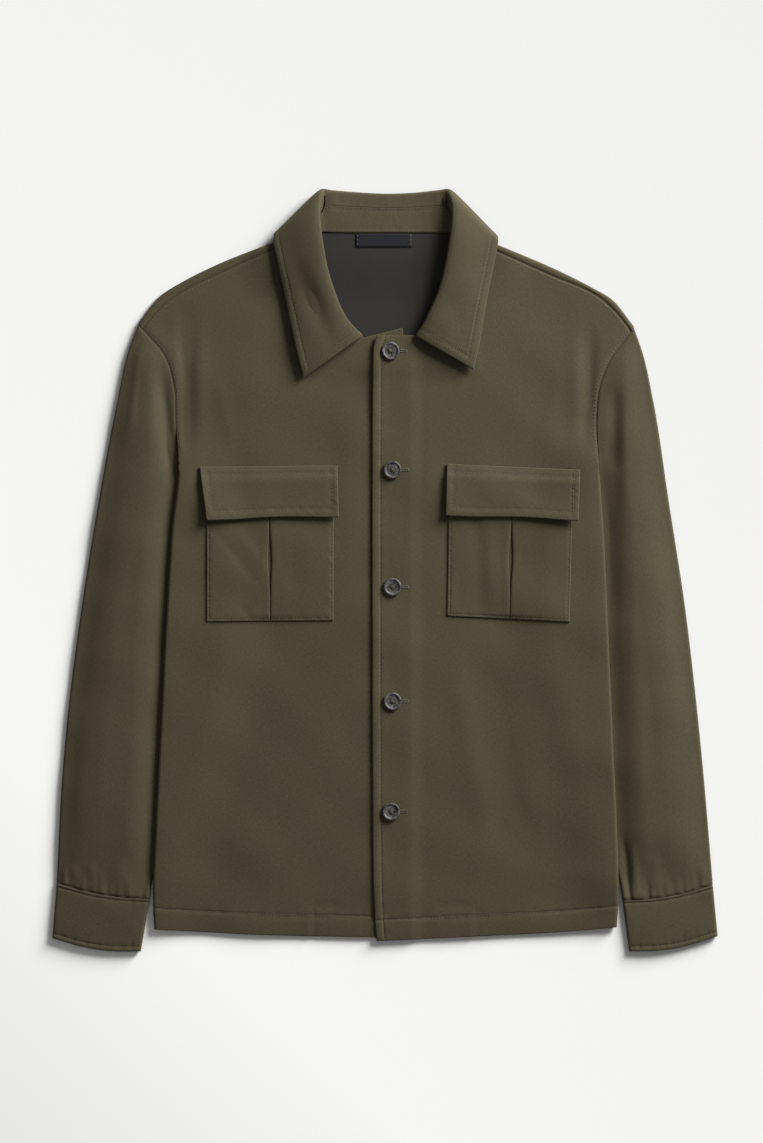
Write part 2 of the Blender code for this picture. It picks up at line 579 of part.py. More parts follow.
def front_plan(side):
    """Plan paths of a front's folded edge and free edge, and the way in from the fold."""
    sign = SIGN[side]
    end = np.array(SHOULDER_SEAM[side][-1])
    edge = side_edge(side, BODY_ROWS, end)
    normal = inward(edge, -sign)
    if side == "right":
        free = np.stack([np.full(len(BODY_ROWS), UNDERLAP_X),
                         HEM[side][0].y + BODY_ROWS * (TOP_EDGE[side][0].y - HEM[side][0].y)], axis=-1)
    else:
        heights = OVERLAP_EDGE[0].y + BODY_ROWS * (OVERLAP_EDGE[-1].y - OVERLAP_EDGE[0].y)
        free_x = spline([row.y for row in OVERLAP_EDGE], [row.x for row in OVERLAP_EDGE], heights)
        free = np.stack([free_x, heights], axis=-1)
    return edge, normal, free


def front(side):
    sign = SIGN[side]
    edge, normal, free = front_plan(side)
    turn = fade(edge[:, 1], UNDERARM_Y - TURN_AT, UNDERARM_Y)
    edge = edge + normal * (1 - turn)[:, None] * SEAM_GAP / 2
    bend = edge + normal * (EDGE_ROUND * turn)[:, None]
    top = []
    for share in TOP_SHARES:
        if share <= NECK_START:
            top.append(along(TOP_EDGE[side], np.array([share / NECK_START]))[0])
        elif share <= SHOULDER_START:
            part = (share - NECK_START) / (SHOULDER_START - NECK_START)
            top.append(along(NECKLINE[side], np.array([part]))[0])
        else:
            part = (share - SHOULDER_START) / (1.0 - SHOULDER_START)
            top.append(along(SHOULDER_SEAM[side], np.array([part]))[0])
    top = np.array(top)
    top[TOP_SHARES > SHOULDER_START, 1] -= SEAM_GAP
    top[-1] = bend[-1]
    low = along(HEM[side], TOP_SHARES)
    low[-1] = bend[0]
    free[0] = low[0]
    free[-1] = top[0]
    straight = free[0] + (free[-1] - free[0]) * BODY_ROWS[:, None]
    plan = coons_rows(low, top, straight, bend, TOP_SHARES)
    plan[:, 0] = free
    z = front_top(side, plan[..., 0], plan[..., 1])
    outer = stack(plan, z)
    inner = stack(plan, z - CLOTH)

    def face(x, y):
        return front_top(side, x, y)

    middle = seam_middle(bend) + SEAM_GAP / 2
    edge_outer, edge_inner = folded_edge(edge, normal, turn, face, middle, 1.0)
    wall = Wall()
    wall.grid(outer, inner)
    wall.grid(edge_outer, edge_inner)
    return wall.build("front_" + side, OLIVE)


def coons_rows(low, top, inner, outer, shares):
    """Plan grid between four edges, with rows at the tabled shares of the height."""
    u = shares[None, :, None]
    v = BODY_ROWS[:, None, None]
    across = (1 - u) * inner[:, None] + u * outer[:, None]
    upward = (1 - v) * low[None] + v * top[None]
    corners = (1 - u) * ((1 - v) * inner[0] + v * inner[-1]) + u * ((1 - v) * outer[0] + v * outer[-1])
    return across + upward - corners


def back():
    """The back, with a strip on each shoulder that turns over to the forward seam."""
    edges = {}
    for side in ("right", "left"):
        edge = side_edge(side, BODY_ROWS, np.array(SHOULDER_FOLD[side][-1]))
        normal = inward(edge, -SIGN[side])
        turn = fade(edge[:, 1], UNDERARM_Y - TURN_AT, UNDERARM_Y)
        edge = edge + normal * (1 - turn)[:, None] * SEAM_GAP / 2
        edge[:, 1] += BACK_HEM_RISE * fade(BODY_ROWS, 0.0, BACK_HEM_BLEND)
        edges[side] = (edge, normal, turn)
    fold_shares = SEAM_SHARES[::-1]
    neck_shares = np.linspace(0.0, 1.0, BACK_NECK_COLUMNS)
    across = np.concatenate([BACK_SHOULDER * (1 - fold_shares),
                             BACK_NECK_START + BACK_NECK_WIDTH * neck_shares,
                             1 - BACK_SHOULDER * (1 - fold_shares[::-1])])
    folds_plan = {side: along(SHOULDER_FOLD[side], fold_shares) for side in ("right", "left")}
    turned = {}
    top = {}
    for side, path in folds_plan.items():
        towards = -SIGN[side]
        normal = inward(path[::-1], -towards)[::-1]
        turned[side] = normal
        top[side] = path + normal * EDGE_ROUND
        edge, edge_normal, turn = edges[side]
        top[side][0] = edge[-1] + normal[0] * EDGE_ROUND
    top_row = np.concatenate([top["right"], along(BACK_NECK, neck_shares), top["left"][::-1]])
    bends = {side: edge + normal * (EDGE_ROUND * turn)[:, None]
             for side, (edge, normal, turn) in edges.items()}
    for side in bends:
        bends[side][-1] = top[side][0]
    hem_half = {side: along(HEM[side], np.linspace(0, 1, HEM_SAMPLES)) for side in HEM}
    hem_path = np.concatenate([hem_half["right"][::-1], hem_half["left"]])
    hem_path = hem_path[np.argsort(hem_path[:, 0])]
    low_x = bends["right"][0, 0] + across * (bends["left"][0, 0] - bends["right"][0, 0])
    low_y = np.interp(low_x, hem_path[:, 0], hem_path[:, 1]) + BACK_HEM_RISE
    low = np.stack([low_x, low_y], axis=-1)
    low[0] = bends["right"][0]
    low[-1] = bends["left"][0]
    plan = coons_rows(low, top_row, bends["right"], bends["left"], across)
    z = back_low(plan[..., 0], plan[..., 1])
    wall = Wall()
    wall.grid(stack(plan, z), stack(plan, z + CLOTH))
    for side, (edge, normal, turn) in edges.items():
        middle = seam_middle(edge + normal * (EDGE_ROUND * turn)[:, None]) - SEAM_GAP / 2
        outer, inner = folded_edge(edge[:-1], normal[:-1], turn[:-1], back_low, middle[:-1], -1.0)
        wall.grid(outer, inner)
        wall.grid(*shoulder_turn(side, folds_plan[side], turned[side], top[side]))
    return wall.build("back", OLIVE)


def shoulder_turn(side, path, normal, start):
    """Strip that rolls over the shoulder fold and runs in to the forward seam."""
    low = back_low(start[:, 0], start[:, 1])
    high = front_top(side, start[:, 0], start[:, 1])
    middle = 0.5 * (low + high)
    rise = 0.5 * (high - low)
    shift = start - (path + normal * EDGE_ROUND)
    outer = []
    inner = []
    for angle in STRIP_ANGLES:
        out = path + shift + normal * EDGE_ROUND * (1 - math.cos(angle))
        into = path + shift + normal * (EDGE_ROUND - (EDGE_ROUND - CLOTH) * math.cos(angle))
        outer.append(stack(out, middle + rise * math.sin(angle)))
        inner.append(stack(into, middle + (rise - CLOTH) * math.sin(angle)))
    seam = along(SHOULDER_SEAM[side], SEAM_SHARES[::-1])
    for share in STRIP_SHARES:
        flat = start + (seam - start) * share
        z = front_top(side, flat[:, 0], flat[:, 1])
        outer.append(stack(flat, z))
        inner.append(stack(flat, z - CLOTH))
    return np.stack(outer), np.stack(inner)


# ==== Sleeves and cuffs =====================================================================

def armhole(side, shares):
    """Armhole seam from the shoulder tip to the underarm, on the sleeve's side of the gap."""
    rows = side_edge(side, BODY_ROWS, np.array(SHOULDER_SEAM[side][-1]))
    normal = inward(rows, -SIGN[side])
    moved = (rows - normal * SEAM_STEP)[-ARMHOLE_ROWS:][::-1]
    path = np.vstack([np.array(SHOULDER_FOLD[side][-1]) - normal[-1] * SEAM_STEP, moved])
    places = np.linspace(0.0, 1.0, len(path))
    return np.stack([np.interp(shares, places, path[:, k]) for k in (0, 1)], axis=-1)


def sleeve_inner(side, shares):
    """Inner fold of a sleeve, from the underarm to the cuff."""
    start = edge_points(side)[UNDERARM_ROW][1] - 1.0
    end = CUFFS[side].top_in[1] + SEAM_GAP
    y = start + shares * (end - start)
    width = half_width(np.full_like(y, SIGN[side]), y) - sleeve_tuck(y)
    x = SIGN[side] * width
    path = np.stack([x, y], axis=-1)
    path[-1] = (CUFFS[side].top_in[0], CUFFS[side].top_in[1] + SEAM_GAP)
    return path


UPPER_SHARES = np.array([0.0, 0.5, 1.0, 1.5, 2.0, 3.0, 3.5, 4.0, 5.0, 6.0, 7.0, 8.0]) / ARMHOLE_ROWS
LOWER_SHARES = np.array([0.0, 0.2, 0.4, 0.6, 0.8, 1.0])
TURN_ANGLES = np.radians([-90.0, -60.0, -30.0, 0.0, 30.0, 60.0, 90.0])
CUFF_ROWS = np.array([0.0, 0.3, 0.7, 1.0])
SAG_START = 0.8        # share down the sleeve where its sections start to sag towards the cuff
SEAM_STEP = SEAM_GAP * 0.7    # from the armhole's line to the sleeve's edge


def tube_rings(outer_fold, inner_fold, bows, top, wall, reach=EDGE_ROUND):
    """Rings of a flattened tube: over the upper layer, round the inner fold and back below."""
    rings_out = []
    rings_in = []
    for out_point, in_point, bow in zip(outer_fold, inner_fold, bows):
        across = unit(in_point - out_point)

        def place(share):
            base = out_point + across * reach
            end = in_point - across * reach
            return base + (end - base) * share[:, None] + bow(share)

        upper = place(UPPER_SHARES)
        z_up = top(upper[:, 0], upper[:, 1])
        lower = place(LOWER_SHARES)
        shape = ring_half(upper, z_up, across, reach, wall, out_point, in_point)
        under = np.zeros(len(lower))
        rings_out.append(np.concatenate([shape[0], stack(lower, under)[::-1][1:-1], shape[2]]))
        rings_in.append(np.concatenate([shape[1], stack(lower, under + wall)[::-1][1:-1], shape[3]]))
    return np.stack(rings_out), np.stack(rings_in)


def ring_half(upper, z_up, across, reach, wall, out_point, in_point):
    """Upper points and both turned folds of one ring, as outer and inner rows."""
    first_out, first_in = turn_rows(upper[0], -across, z_up[0], reach, wall, 1.0)
    last_out, last_in = turn_rows(upper[-1], across, z_up[-1], reach, wall, -1.0)
    outer = np.concatenate([first_out[len(first_out) // 2:-1], stack(upper, z_up), last_out[1:]])
    inner = np.concatenate([first_in[len(first_in) // 2:-1], stack(upper, z_up - wall), last_in[1:]])
    return outer, inner, first_out[:len(first_out) // 2], first_in[:len(first_in) // 2]


def turn_rows(bend, direction, height, reach, wall, order):
    """Points round a fold: from underneath to the top when order is 1, else the other way."""
    angles = TURN_ANGLES * order
    middle = height / 2
    outer = bend + np.cos(angles)[:, None] * direction * reach
    inner = bend + np.cos(angles)[:, None] * direction * (reach - wall)
    return (stack(outer, middle + middle * np.sin(angles)),
            stack(inner, middle + (middle - wall) * np.sin(angles)))


def sleeve(side):
    outer_path = sleeve_points(side)
    outer_path[0] = SHOULDER_FOLD[side][-1]
    outer_path[-1] = (CUFFS[side].top_out[0], CUFFS[side].top_out[1] + SEAM_GAP)
    out_shares = np.array([row.outer for row in SLEEVE_FAN])
    in_shares = np.array([row.inner for row in SLEEVE_FAN])
    outer_fold = along(outer_path, out_shares)
    outer_fold[0] = armhole(side, np.array([0.0]))[0]
    inner_fold = sleeve_inner(side, in_shares)
    inner_fold[0] = armhole(side, np.array([1.0]))[0]
    chord = inner_fold[0] - outer_fold[0]

    def make_bow(row):
        def bow(share):
            curve = armhole(side, share) - (outer_fold[0] + share[:, None] * chord)
            ends = np.sin(np.pi * share)[:, None] * np.array([0.0, -CUFF_TOP_SAG])
            near_cuff = float(ease((row.outer - SAG_START) / (1.0 - SAG_START)))
            return curve * row.bow * (np.sin(np.pi * share) > 0)[:, None] + ends * near_cuff
        return bow

    bows = [make_bow(row) for row in SLEEVE_FAN]
    outer, inner = tube_rings(outer_fold, inner_fold, bows, sleeve_top, CLOTH)
    wall = Wall()
    wall.grid(outer, inner, ring=True)
    return wall.build("sleeve_" + side, OLIVE)


def cuff(side):
    corners = CUFFS[side]
    outer_fold = along([corners.top_out, corners.low_out], CUFF_ROWS)
    inner_fold = along([corners.top_in, corners.low_in], CUFF_ROWS)

    def make_bow(depth):
        return lambda share: np.sin(np.pi * share)[:, None] * np.array([0.0, -depth])

    bows = [make_bow(CUFF_TOP_SAG + (CUFF_LOW_SAG - CUFF_TOP_SAG) * share) for share in CUFF_ROWS]

    def top(x, y):
        return np.full(x.shape, 2 * CUFF_WALL + CUFF_LOFT)

    outer, inner = tube_rings(outer_fold, inner_fold, bows, top, CUFF_WALL)
    wall = Wall()
    wall.grid(outer, inner, ring=True)
    return wall.build("cuff_" + side, OLIVE)


# ==== Collar =================================================================================

def panel_top(plan):
    """Height of the cloth that the collar stands on."""
    x = plan[:, 0]
    y = plan[:, 1]
    fronts = np.where(x < UNDERLAP_X, front_top("right", x, y), front_top("left", x, y))
    bare = back_low(x, y) + CLOTH
    in_neck = fade(np.abs(x), *BARE_HALF) * fade(-y, *BARE_LOW)
    return fronts * (1 - in_neck) + bare * in_neck


def hermite(start, end, leave, arrive, t):
    """Points between start and end, which are (sections, 3), at (sections, columns) shares."""
    t = t[..., None]
    return ((1 + 2 * t) * (1 - t) ** 2 * start[:, None] + t * t * (3 - 2 * t) * end[:, None]
            + t * (1 - t) ** 2 * leave[:, None] + t * t * (t - 1) * arrive[:, None])


class CollarShape:
    """Profiles from the neck seam (0) up to the roll (1), round it (2) and down to the edge (3)."""

    def __init__(self):
        rows = np.array(COLLAR, float)
        knots = np.arange(len(rows), dtype=float)
        fine = spline(knots, rows, np.linspace(0.0, knots[-1], COLLAR_SECTIONS))
        self.below = np.clip(fine[:, 8] / 90.0, 0.0, 1.0)
        turn = np.radians(90.0 * self.below)
        under = np.clip(fine[:, 9], 0.0, 1.0)
        seat = panel_top(fine[:, 0:2]) + 2 * SEAM_GAP + COLLAR_WALL * np.sin(turn)
        self.neck = stack(fine[:, 0:2], seat)
        rest = panel_top(fine[:, 5:7]) + SEAM_GAP + COLLAR_WALL + fine[:, 7]
        self.cut = stack(fine[:, 5:7], rest * (1 - under))
        outward = inward(fine[:, 2:4], -1.0)
        self.up = stack(outward * np.sin(turn)[:, None], np.cos(turn))
        self.over = stack(outward * np.cos(turn)[:, None], -np.sin(turn))
        self.low = fine[:, 2:5] - ROLL_ROUND * self.up
        self.high = fine[:, 2:5] + ROLL_ROUND * self.over
        self.length = np.linalg.norm(self.low - self.neck, axis=1)

    def points(self, place):
        """Points at (sections, columns) places between 0 and 3."""
        rise = self.low - self.neck
        fall = self.cut - self.high
        reach = self.up * self.length[:, None]
        first = hermite(self.neck, self.low, rise, reach, np.clip(place, 0.0, 1.0))
        angle = (np.clip(place, 1.0, 2.0) - 1.0)[..., None] * math.pi / 2
        arc = (self.low[:, None] + ROLL_ROUND * np.sin(angle) * self.up[:, None]
               + ROLL_ROUND * (1 - np.cos(angle)) * self.over[:, None])
        down = np.clip(place - 2.0, 0.0, 1.0)
        leave = self.over * (ROLL_REACH + (FOLD_REACH - ROLL_REACH) * self.below ** 2)[:, None]
        last = hermite(self.high, self.cut, leave, fall, down)
        last[..., 2] += LEAF_BULGE * np.sin(np.pi * down) * (1 - self.below)[:, None]
        mixed = np.where(place[..., None] <= 1.0, first, np.where(place[..., None] <= 2.0, arc, last))
        mixed[..., 2] = np.maximum(mixed[..., 2], 0.0)
        return mixed

    def wall(self, place, name):
        """The part of the collar between two places, as one wall."""
        grid = self.points(place)
        ahead = self.points(np.minimum(place + PROFILE_STEP, 3.0))
        profile = ahead - self.points(np.maximum(place - PROFILE_STEP, 0.0))
        made = Wall()
        made.grid(grid, grid - COLLAR_WALL * unit(np.cross(np.gradient(grid, axis=0), profile)))
        return made.build(name, OLIVE)


def collar():
    """The stand and the leaf, which meet at a seam below the roll."""
    shape = CollarShape()
    every = np.ones((COLLAR_SECTIONS, 1))
    shape.wall(STAND_PLACES[None] * STAND_SHARE * every, "collar_stand")
    start = STAND_SHARE + (SEAM_GAP * 1.3 / shape.length)[:, None]
    places = np.concatenate([start + (1 - start) * RISE_PLACES[None], 1.0 + ARC_PLACES[None] * every,
                             2.0 + FALL_PLACES[None] * every], axis=1)
    shape.wall(places, "collar_leaf")


# ==== Neck lining and label ====================================================================

def lining():
    rows = np.linspace(0.0, 1.0, LINING_ROWS)
    columns = np.linspace(-1.0, 1.0, LINING_COLUMNS)
    y = LINING_LOW_Y + rows[:, None] * (LINING_TOP_Y - LINING_LOW_Y) * np.ones(len(columns))
    taper = ease((rows - LINING_TAPER) / (1.0 - LINING_TAPER))
    half = LINING_HALF_LOW + (LINING_HALF_TOP - LINING_HALF_LOW) * taper
    x = half[:, None] * columns
    z = back_low(x, y) + CLOTH + SEAM_GAP + LINING
    plan = np.stack([x, y], axis=-1)
    wall = Wall()
    wall.grid(stack(plan, z), stack(plan, z - LINING))
    return wall.build("back_lining", LINING_GREY)


def label():
    x0, y0, x1, y1 = LABEL_BOX
    x = np.linspace(x0, x1, LABEL_COLUMNS)[None] * np.ones((LABEL_ROWS, 1))
    y = np.linspace(y0, y1, LABEL_ROWS)[:, None] * np.ones(LABEL_COLUMNS)
    z = back_low(x, y) + CLOTH + 2 * SEAM_GAP + 2 * LINING
    plan = np.stack([x, y], axis=-1)
    wall = Wall()
    wall.grid(stack(plan, z), stack(plan, z - LINING))
    return wall.build("neck_label", LABEL_GREY)


# ==== Pockets, flaps and buttons ================================================================

def patch_plan(patch, across, upward):
    """Plan grid of a four-cornered patch."""
    corners = [np.array(corner) for corner in patch]
    u = across[None, :, None]
    v = upward[:, None, None]
    low = corners[0] * (1 - u) + corners[1] * u
    top = corners[2] * (1 - u) + corners[3] * u
    return low * (1 - v) + top * v


def slit_places(side, patch, upward):
    """Shares across the pocket of the pleat's middle, one for each row."""
    foot, head = PLEAT_X[side]
    middle = foot + (head - foot) * upward
    inner = patch.low_in[0] + (patch.top_in[0] - patch.low_in[0]) * upward
    outer = patch.low_out[0] + (patch.top_out[0] - patch.low_out[0]) * upward
    return (middle - inner) / (outer - inner), np.abs(outer - inner)


def pocket(side):
    patch = POCKETS[side]
    upward = POCKET_ROWS
    middle, width = slit_places(side, patch, upward)
    slit = spline([row.share for row in SLIT], [row.width for row in SLIT], upward) / width
    flank = PLEAT_HALF / width
    bend = PLEAT_BEND / width
    offsets = [0 * slit - 1, -flank - bend, -flank, -slit / 2 - bend, -slit / 2,
               slit / 2, slit / 2 + bend, flank, flank + bend, 0 * slit + 1]
    extra = [0.0, 0.0, PLEAT_EXTRA, PLEAT_EXTRA, PLEAT_EXTRA - SLIT_DEPTH,
             PLEAT_EXTRA - SLIT_DEPTH, PLEAT_EXTRA, PLEAT_EXTRA, 0.0, 0.0]
    shares = [middle * 0]
    heights = [0.0]
    for share in POCKET_INNER:
        shares.append(share * (middle - flank - bend))
        heights.append(0.0)
    for offset, height in list(zip(offsets, extra))[1:-1]:
        shares.append(middle + offset)
        heights.append(height)
    for share in POCKET_OUTER:
        start = middle + flank + bend
        shares.append(start + share * (1 - start))
        heights.append(0.0)
    columns = np.stack(shares, axis=1)
    plan = np.stack([patch_plan(patch, columns[j], upward[j:j + 1])[0] for j in range(len(upward))])
    base = front_top(side, plan[..., 0], plan[..., 1]) + PATCH_GAP
    foot = ease(upward / POCKET_ROWS[1])[:, None]
    z = base + CLOTH + np.array(heights)[None] * foot
    wall = Wall()
    wall.grid(stack(plan, z), stack(plan, base))
    return wall.build("pocket_" + side, OLIVE)


def flap(side):
    upward = FLAP_ROWS
    across = np.linspace(0.0, 1.0, FLAP_COLUMNS)
    plan = patch_plan(FLAPS[side], across, upward)
    base = front_top(side, plan[..., 0], plan[..., 1]) + PATCH_GAP
    clear = FLAP_CLEAR * ease((1 - upward) / FLAP_RISE)[:, None]
    corner = FLAP_CORNER_LIFT * ((1 - upward)[:, None] * across[None]) ** 2
    low = base + clear + corner
    wall = Wall()
    wall.grid(stack(plan, low + FLAP_WALL), stack(plan, low))
    return wall.build("flap_" + side, OLIVE)


def button(number, place):
    """A dished round button with a raised rim and four holes."""
    ring = np.linspace(0.0, 2 * math.pi, BUTTON_SIDES, endpoint=False)
    samples = np.array([place]) + BUTTON_RADIUS * np.stack([np.cos(ring), np.sin(ring)], axis=-1)
    rest = float(np.max(front_top("left", samples[:, 0], samples[:, 1]))) + SEAM_GAP
    mesh = bmesh.new()
    loops = []
    for radius, height in BUTTON_PROFILE:
        loops.append([mesh.verts.new(((place.x + radius * math.cos(a)) * MM,
                                      (place.y + radius * math.sin(a)) * MM,
                                      (rest + height) * MM)) for a in ring])
    for low, high in zip(loops, loops[1:]):
        for i in range(BUTTON_SIDES):
            k = (i + 1) % BUTTON_SIDES
            mesh.faces.new([low[i], low[k], high[k], high[i]])
    mesh.faces.new(loops[0])
    mesh.faces.new(loops[-1][::-1])
    made = finish(mesh, "button_%d" % number, HORN, 0.35)
    pierce(made, place, rest)
    return made


def pierce(target, place, rest):
    """Cut the four thread holes through a button."""
    mesh = bmesh.new()
    for quarter in range(4):
        angle = math.radians(BUTTON_HOLE_TURN + 90.0 * quarter)
        middle = (place.x + BUTTON_HOLE_REACH * math.cos(angle),
                  place.y + BUTTON_HOLE_REACH * math.sin(angle), rest + BUTTON_HEIGHT / 2)
        made = bmesh.ops.create_cone(
            mesh, cap_ends=True, segments=BUTTON_HOLE_SIDES, depth=3 * BUTTON_HEIGHT * MM,
            radius1=BUTTON_HOLE_RADIUS * MM, radius2=BUTTON_HOLE_RADIUS * MM)
        bmesh.ops.translate(mesh, verts=made["verts"], vec=[v * MM for v in middle])
    data = bpy.data.meshes.new(target.name + "_holes")
    mesh.to_mesh(data)
    mesh.free()
    cutter = bpy.data.objects.new(target.name + "_holes", data)
    bpy.context.scene.collection.objects.link(cutter)
    cutter.hide_render = True
    cutter.display_type = "WIRE"
    cut = target.modifiers.new("holes", "BOOLEAN")
    cut.object = cutter
    cut.operation = "DIFFERENCE"
    cut.solver = "EXACT"


# ==== The whole shirt ===========================================================================

def main():
    for old in list(bpy.data.objects):
        bpy.data.objects.remove(old, do_unlink=True)
    back()
    lining()
    label()
    for side in ("right", "left"):
        front(side)
        sleeve(side)
        cuff(side)
        pocket(side)
        flap(side)
    collar()
    for number, place in enumerate(BUTTONS, start=1):
        button(number, place)


main()
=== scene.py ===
"""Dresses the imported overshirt: cloth shells with folds and sewn edges, buttons and a stage.

Sizes in the tables are millimetres; objects are metres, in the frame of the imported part.
X runs across the shirt, Y from the hem to the collar and Z up from the surface it lies on.
"""

from collections import namedtuple
import math

import bmesh
import bpy
from bpy.props import FloatProperty, FloatVectorProperty, PointerProperty
from bpy.types import Operator, Panel, PropertyGroup
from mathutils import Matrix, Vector
import numpy as np


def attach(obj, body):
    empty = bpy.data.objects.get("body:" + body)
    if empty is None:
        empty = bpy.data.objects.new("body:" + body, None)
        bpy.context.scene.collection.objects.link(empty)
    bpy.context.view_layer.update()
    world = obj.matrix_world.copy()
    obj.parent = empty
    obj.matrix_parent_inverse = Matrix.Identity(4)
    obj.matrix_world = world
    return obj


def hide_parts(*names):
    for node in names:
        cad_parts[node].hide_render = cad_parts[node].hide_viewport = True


bl_info = {
    "name": "Overshirt laid flat",
    "version": (1, 0, 0),
    "blender": (4, 5, 0),
    "location": "3D View > Sidebar > Shirt",
    "description": "Cloth, sewing, buttons and stage for an overshirt that lies on a table",
    "category": "Object",
}

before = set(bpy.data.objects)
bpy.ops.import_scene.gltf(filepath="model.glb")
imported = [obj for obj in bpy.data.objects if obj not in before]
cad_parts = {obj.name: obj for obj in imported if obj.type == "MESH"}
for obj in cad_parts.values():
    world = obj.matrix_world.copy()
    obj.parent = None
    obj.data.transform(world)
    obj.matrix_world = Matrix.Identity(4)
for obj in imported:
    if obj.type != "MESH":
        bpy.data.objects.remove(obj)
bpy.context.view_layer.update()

MM = 0.001


def rows(kind, *values):
    """A table of named rows."""
    return tuple(kind(*row) for row in values)


# ---- Cloth, seams and layers
CLOTH = 1.3  # wall of one layer of body cloth
LINING = 1.0  # wall of the neck lining and of the label
COLLAR_WALL = 2.0  # two layers of cloth and their stiffening
CUFF_WALL = 2.0  # doubled cuff
FLAP_WALL = 1.7  # doubled flap
SEAM_GAP = 0.3  # between pieces that meet edge to edge
LAYER_GAP = 0.4  # between layers that lie on each other
PATCH_GAP = 0.6  # under pockets and flaps
EDGE_ROUND = 3.0  # how far in a folded edge starts to turn over
HEM_DEPTH = 21.0

# ---- How the layers stand over the surface
CHEST_LOFT = 0.8  # air between back and fronts in the middle
EDGE_LOFT = 1.5  # more air along the folded side edges
EDGE_LOFT_REACH = 24.0
SLEEVE_LOFT = 3.1  # air inside a sleeve
SLEEVE_EDGE_LOFT = 1.5
SLEEVE_TUCK_LOFT = 0.6  # air in the part of a sleeve that lies under the body
TUCK_RAMP = 62.0  # the back comes down to the surface over this width
UNDERARM_Y = 107.0
UNDERLEAF_LIFT = COLLAR_WALL + 2 * LAYER_GAP
UNDERLEAF_Y = 322.0  # the collar leaf lies under the back above this line
UNDERLEAF_RAMP = 56.0
UNDERLEAF_HALF = 118.0

# ---- Outlines: distances from the middle line, wearer's right and left
EdgeRow = namedtuple("EdgeRow", "y_right right y_left left")
BODY_EDGE = rows(EdgeRow,  # folded side edge from the hem up, then the armhole seam
    (-358, 230.5, -356, 231.5),
    (-338, 231.5, -338, 232.6),
    (-256, 229, -257, 231.4),
    (-148, 223.5, -175, 227.6),
    (-40, 218, -67, 223),
    (41.5, 212.6, 41.5, 218),
    (107, 206, 107, 213.5),
    (150, 209, 154, 211.3),
    (188, 211.5, 191, 216.5),
    (218, 222, 214, 227),
    (237, 238.5, 231, 240),
    (244.5, 246.5, 241, 249),
)
UNDERARM_ROW = 6
TuckRow = namedtuple("TuckRow", "y tuck")
SLEEVE_TUCK = rows(TuckRow,  # how far a sleeve's inner edge lies inside the body's edge
    (-380, -13), (-330, -5), (-300, 1), (-256, 12),
    (-148, 36), (-67, 48), (0, 46), (45, 27),
    (76, 8), (93, 0.5), (107, -0.3),
)
SLEEVE_EDGE = rows(EdgeRow,  # the sleeve's outer fold from the shoulder tip to the cuff
    (245, 247.5, 241.5, 250),
    (226, 255, 220, 257.4),
    (161, 269.5, 172, 268),
    (63, 287.4, 74, 283),
    (-40, 303.7, -45, 301),
    (-121, 314.5, -126, 310.5),
    (-208, 322.7, -219, 319.7),
    (-311, 328, -313.5, 327.5),
)
FanRow = namedtuple("FanRow", "outer inner bow")
SLEEVE_FAN = rows(FanRow,  # shares of the outer and inner edge joined by a section, and its bow
    (0, 0, 1), (0.05, 0.012, 0.80), (0.12, 0.03, 0.56),
    (0.20, 0.07, 0.34), (0.29, 0.14, 0.16), (0.38, 0.23, 0.06),
    (0.47, 0.34, 0), (0.56, 0.45, 0), (0.65, 0.56, 0),
    (0.74, 0.67, 0), (0.82, 0.77, 0), (0.89, 0.86, 0),
    (0.94, 0.925, 0), (0.975, 0.968, 0), (1, 1, 0),
)
CuffCorners = namedtuple("CuffCorners", "top_out top_in low_out low_in")
CUFFS = {
    "right": CuffCorners((-328.1, -312), (-235, -327.5), (-332.5, -367), (-244, -380.4)),
    "left": CuffCorners((327.6, -314), (237, -328.8), (332.4, -365), (244, -380.4)),
}
CUFF_TOP_SAG = 3.5
CUFF_LOW_SAG = 4.5
CUFF_LOFT = 1.5

# ---- Top edges of the panels
PlanPoint = namedtuple("PlanPoint", "x y")
TOP_EDGE = {  # from the front corner to the collar's front end
    "right": ((18, 243), (-21, 233)),
    "left": ((-8, 235), (31, 235.5)),
}
NECKLINE = {  # from the collar's front end to the shoulder
    "right": ((-21, 233), (-42, 254), (-57, 288),
              (-66, 322), (-74, 338)),
    "left": ((31, 235.5), (44, 252), (58, 286),
             (67, 321), (75, 336)),
}
SHOULDER_SEAM = {  # forward shoulder seam from the neck to the armhole
    "right": ((-74, 338), (-114, 320.5), (-165, 297.5),
              (-206, 277), (-228, 260), (-243, 242)),
    "left": ((75, 336), (114, 318.5), (165, 296),
             (216, 272), (232, 257), (246, 239)),
}
SHOULDER_FOLD = {  # outer fold of the shoulder, where the back turns over
    "right": ((-78, 342.5), (-106, 330.5), (-165, 307.5),
              (-206, 287), (-224, 275.5), (-246.5, 247.5)),
    "left": ((79, 340.5), (106, 328.5), (165, 304),
             (211, 281), (224, 273.5), (249, 244)),
}
BACK_NECK = ((-70, 341.5), (-30, 340.5), (0, 340),
             (30, 340.5), (70, 340.5))

# ---- Front overlap
UNDERLAP_X = 18.0  # free edge of the wearer's right front, hidden under the left one
OVERLAP_FADE = (24, 38)
FrontRow = namedtuple("FrontRow", "y x")
OVERLAP_EDGE = rows(FrontRow,  # free edge of the wearer's left front, from the hem up
    (-369.7, -8.5), (-347, -10), (-209, -12.4),
    (-60, -12.8), (100, -12.8), (185, -12.4),
    (207, -12), (228, -10.5), (235, -8),
)
HEM = {
    "right": ((18, -366.5), (-11, -366), (-125, -363.5),
              (-230.5, -358)),
    "left": ((-8.5, -369.7), (93, -365), (170, -361),
             (231.5, -356)),
}
BACK_HEM_RISE = 2.0  # the back's hem stays hidden this far above the fronts' hem

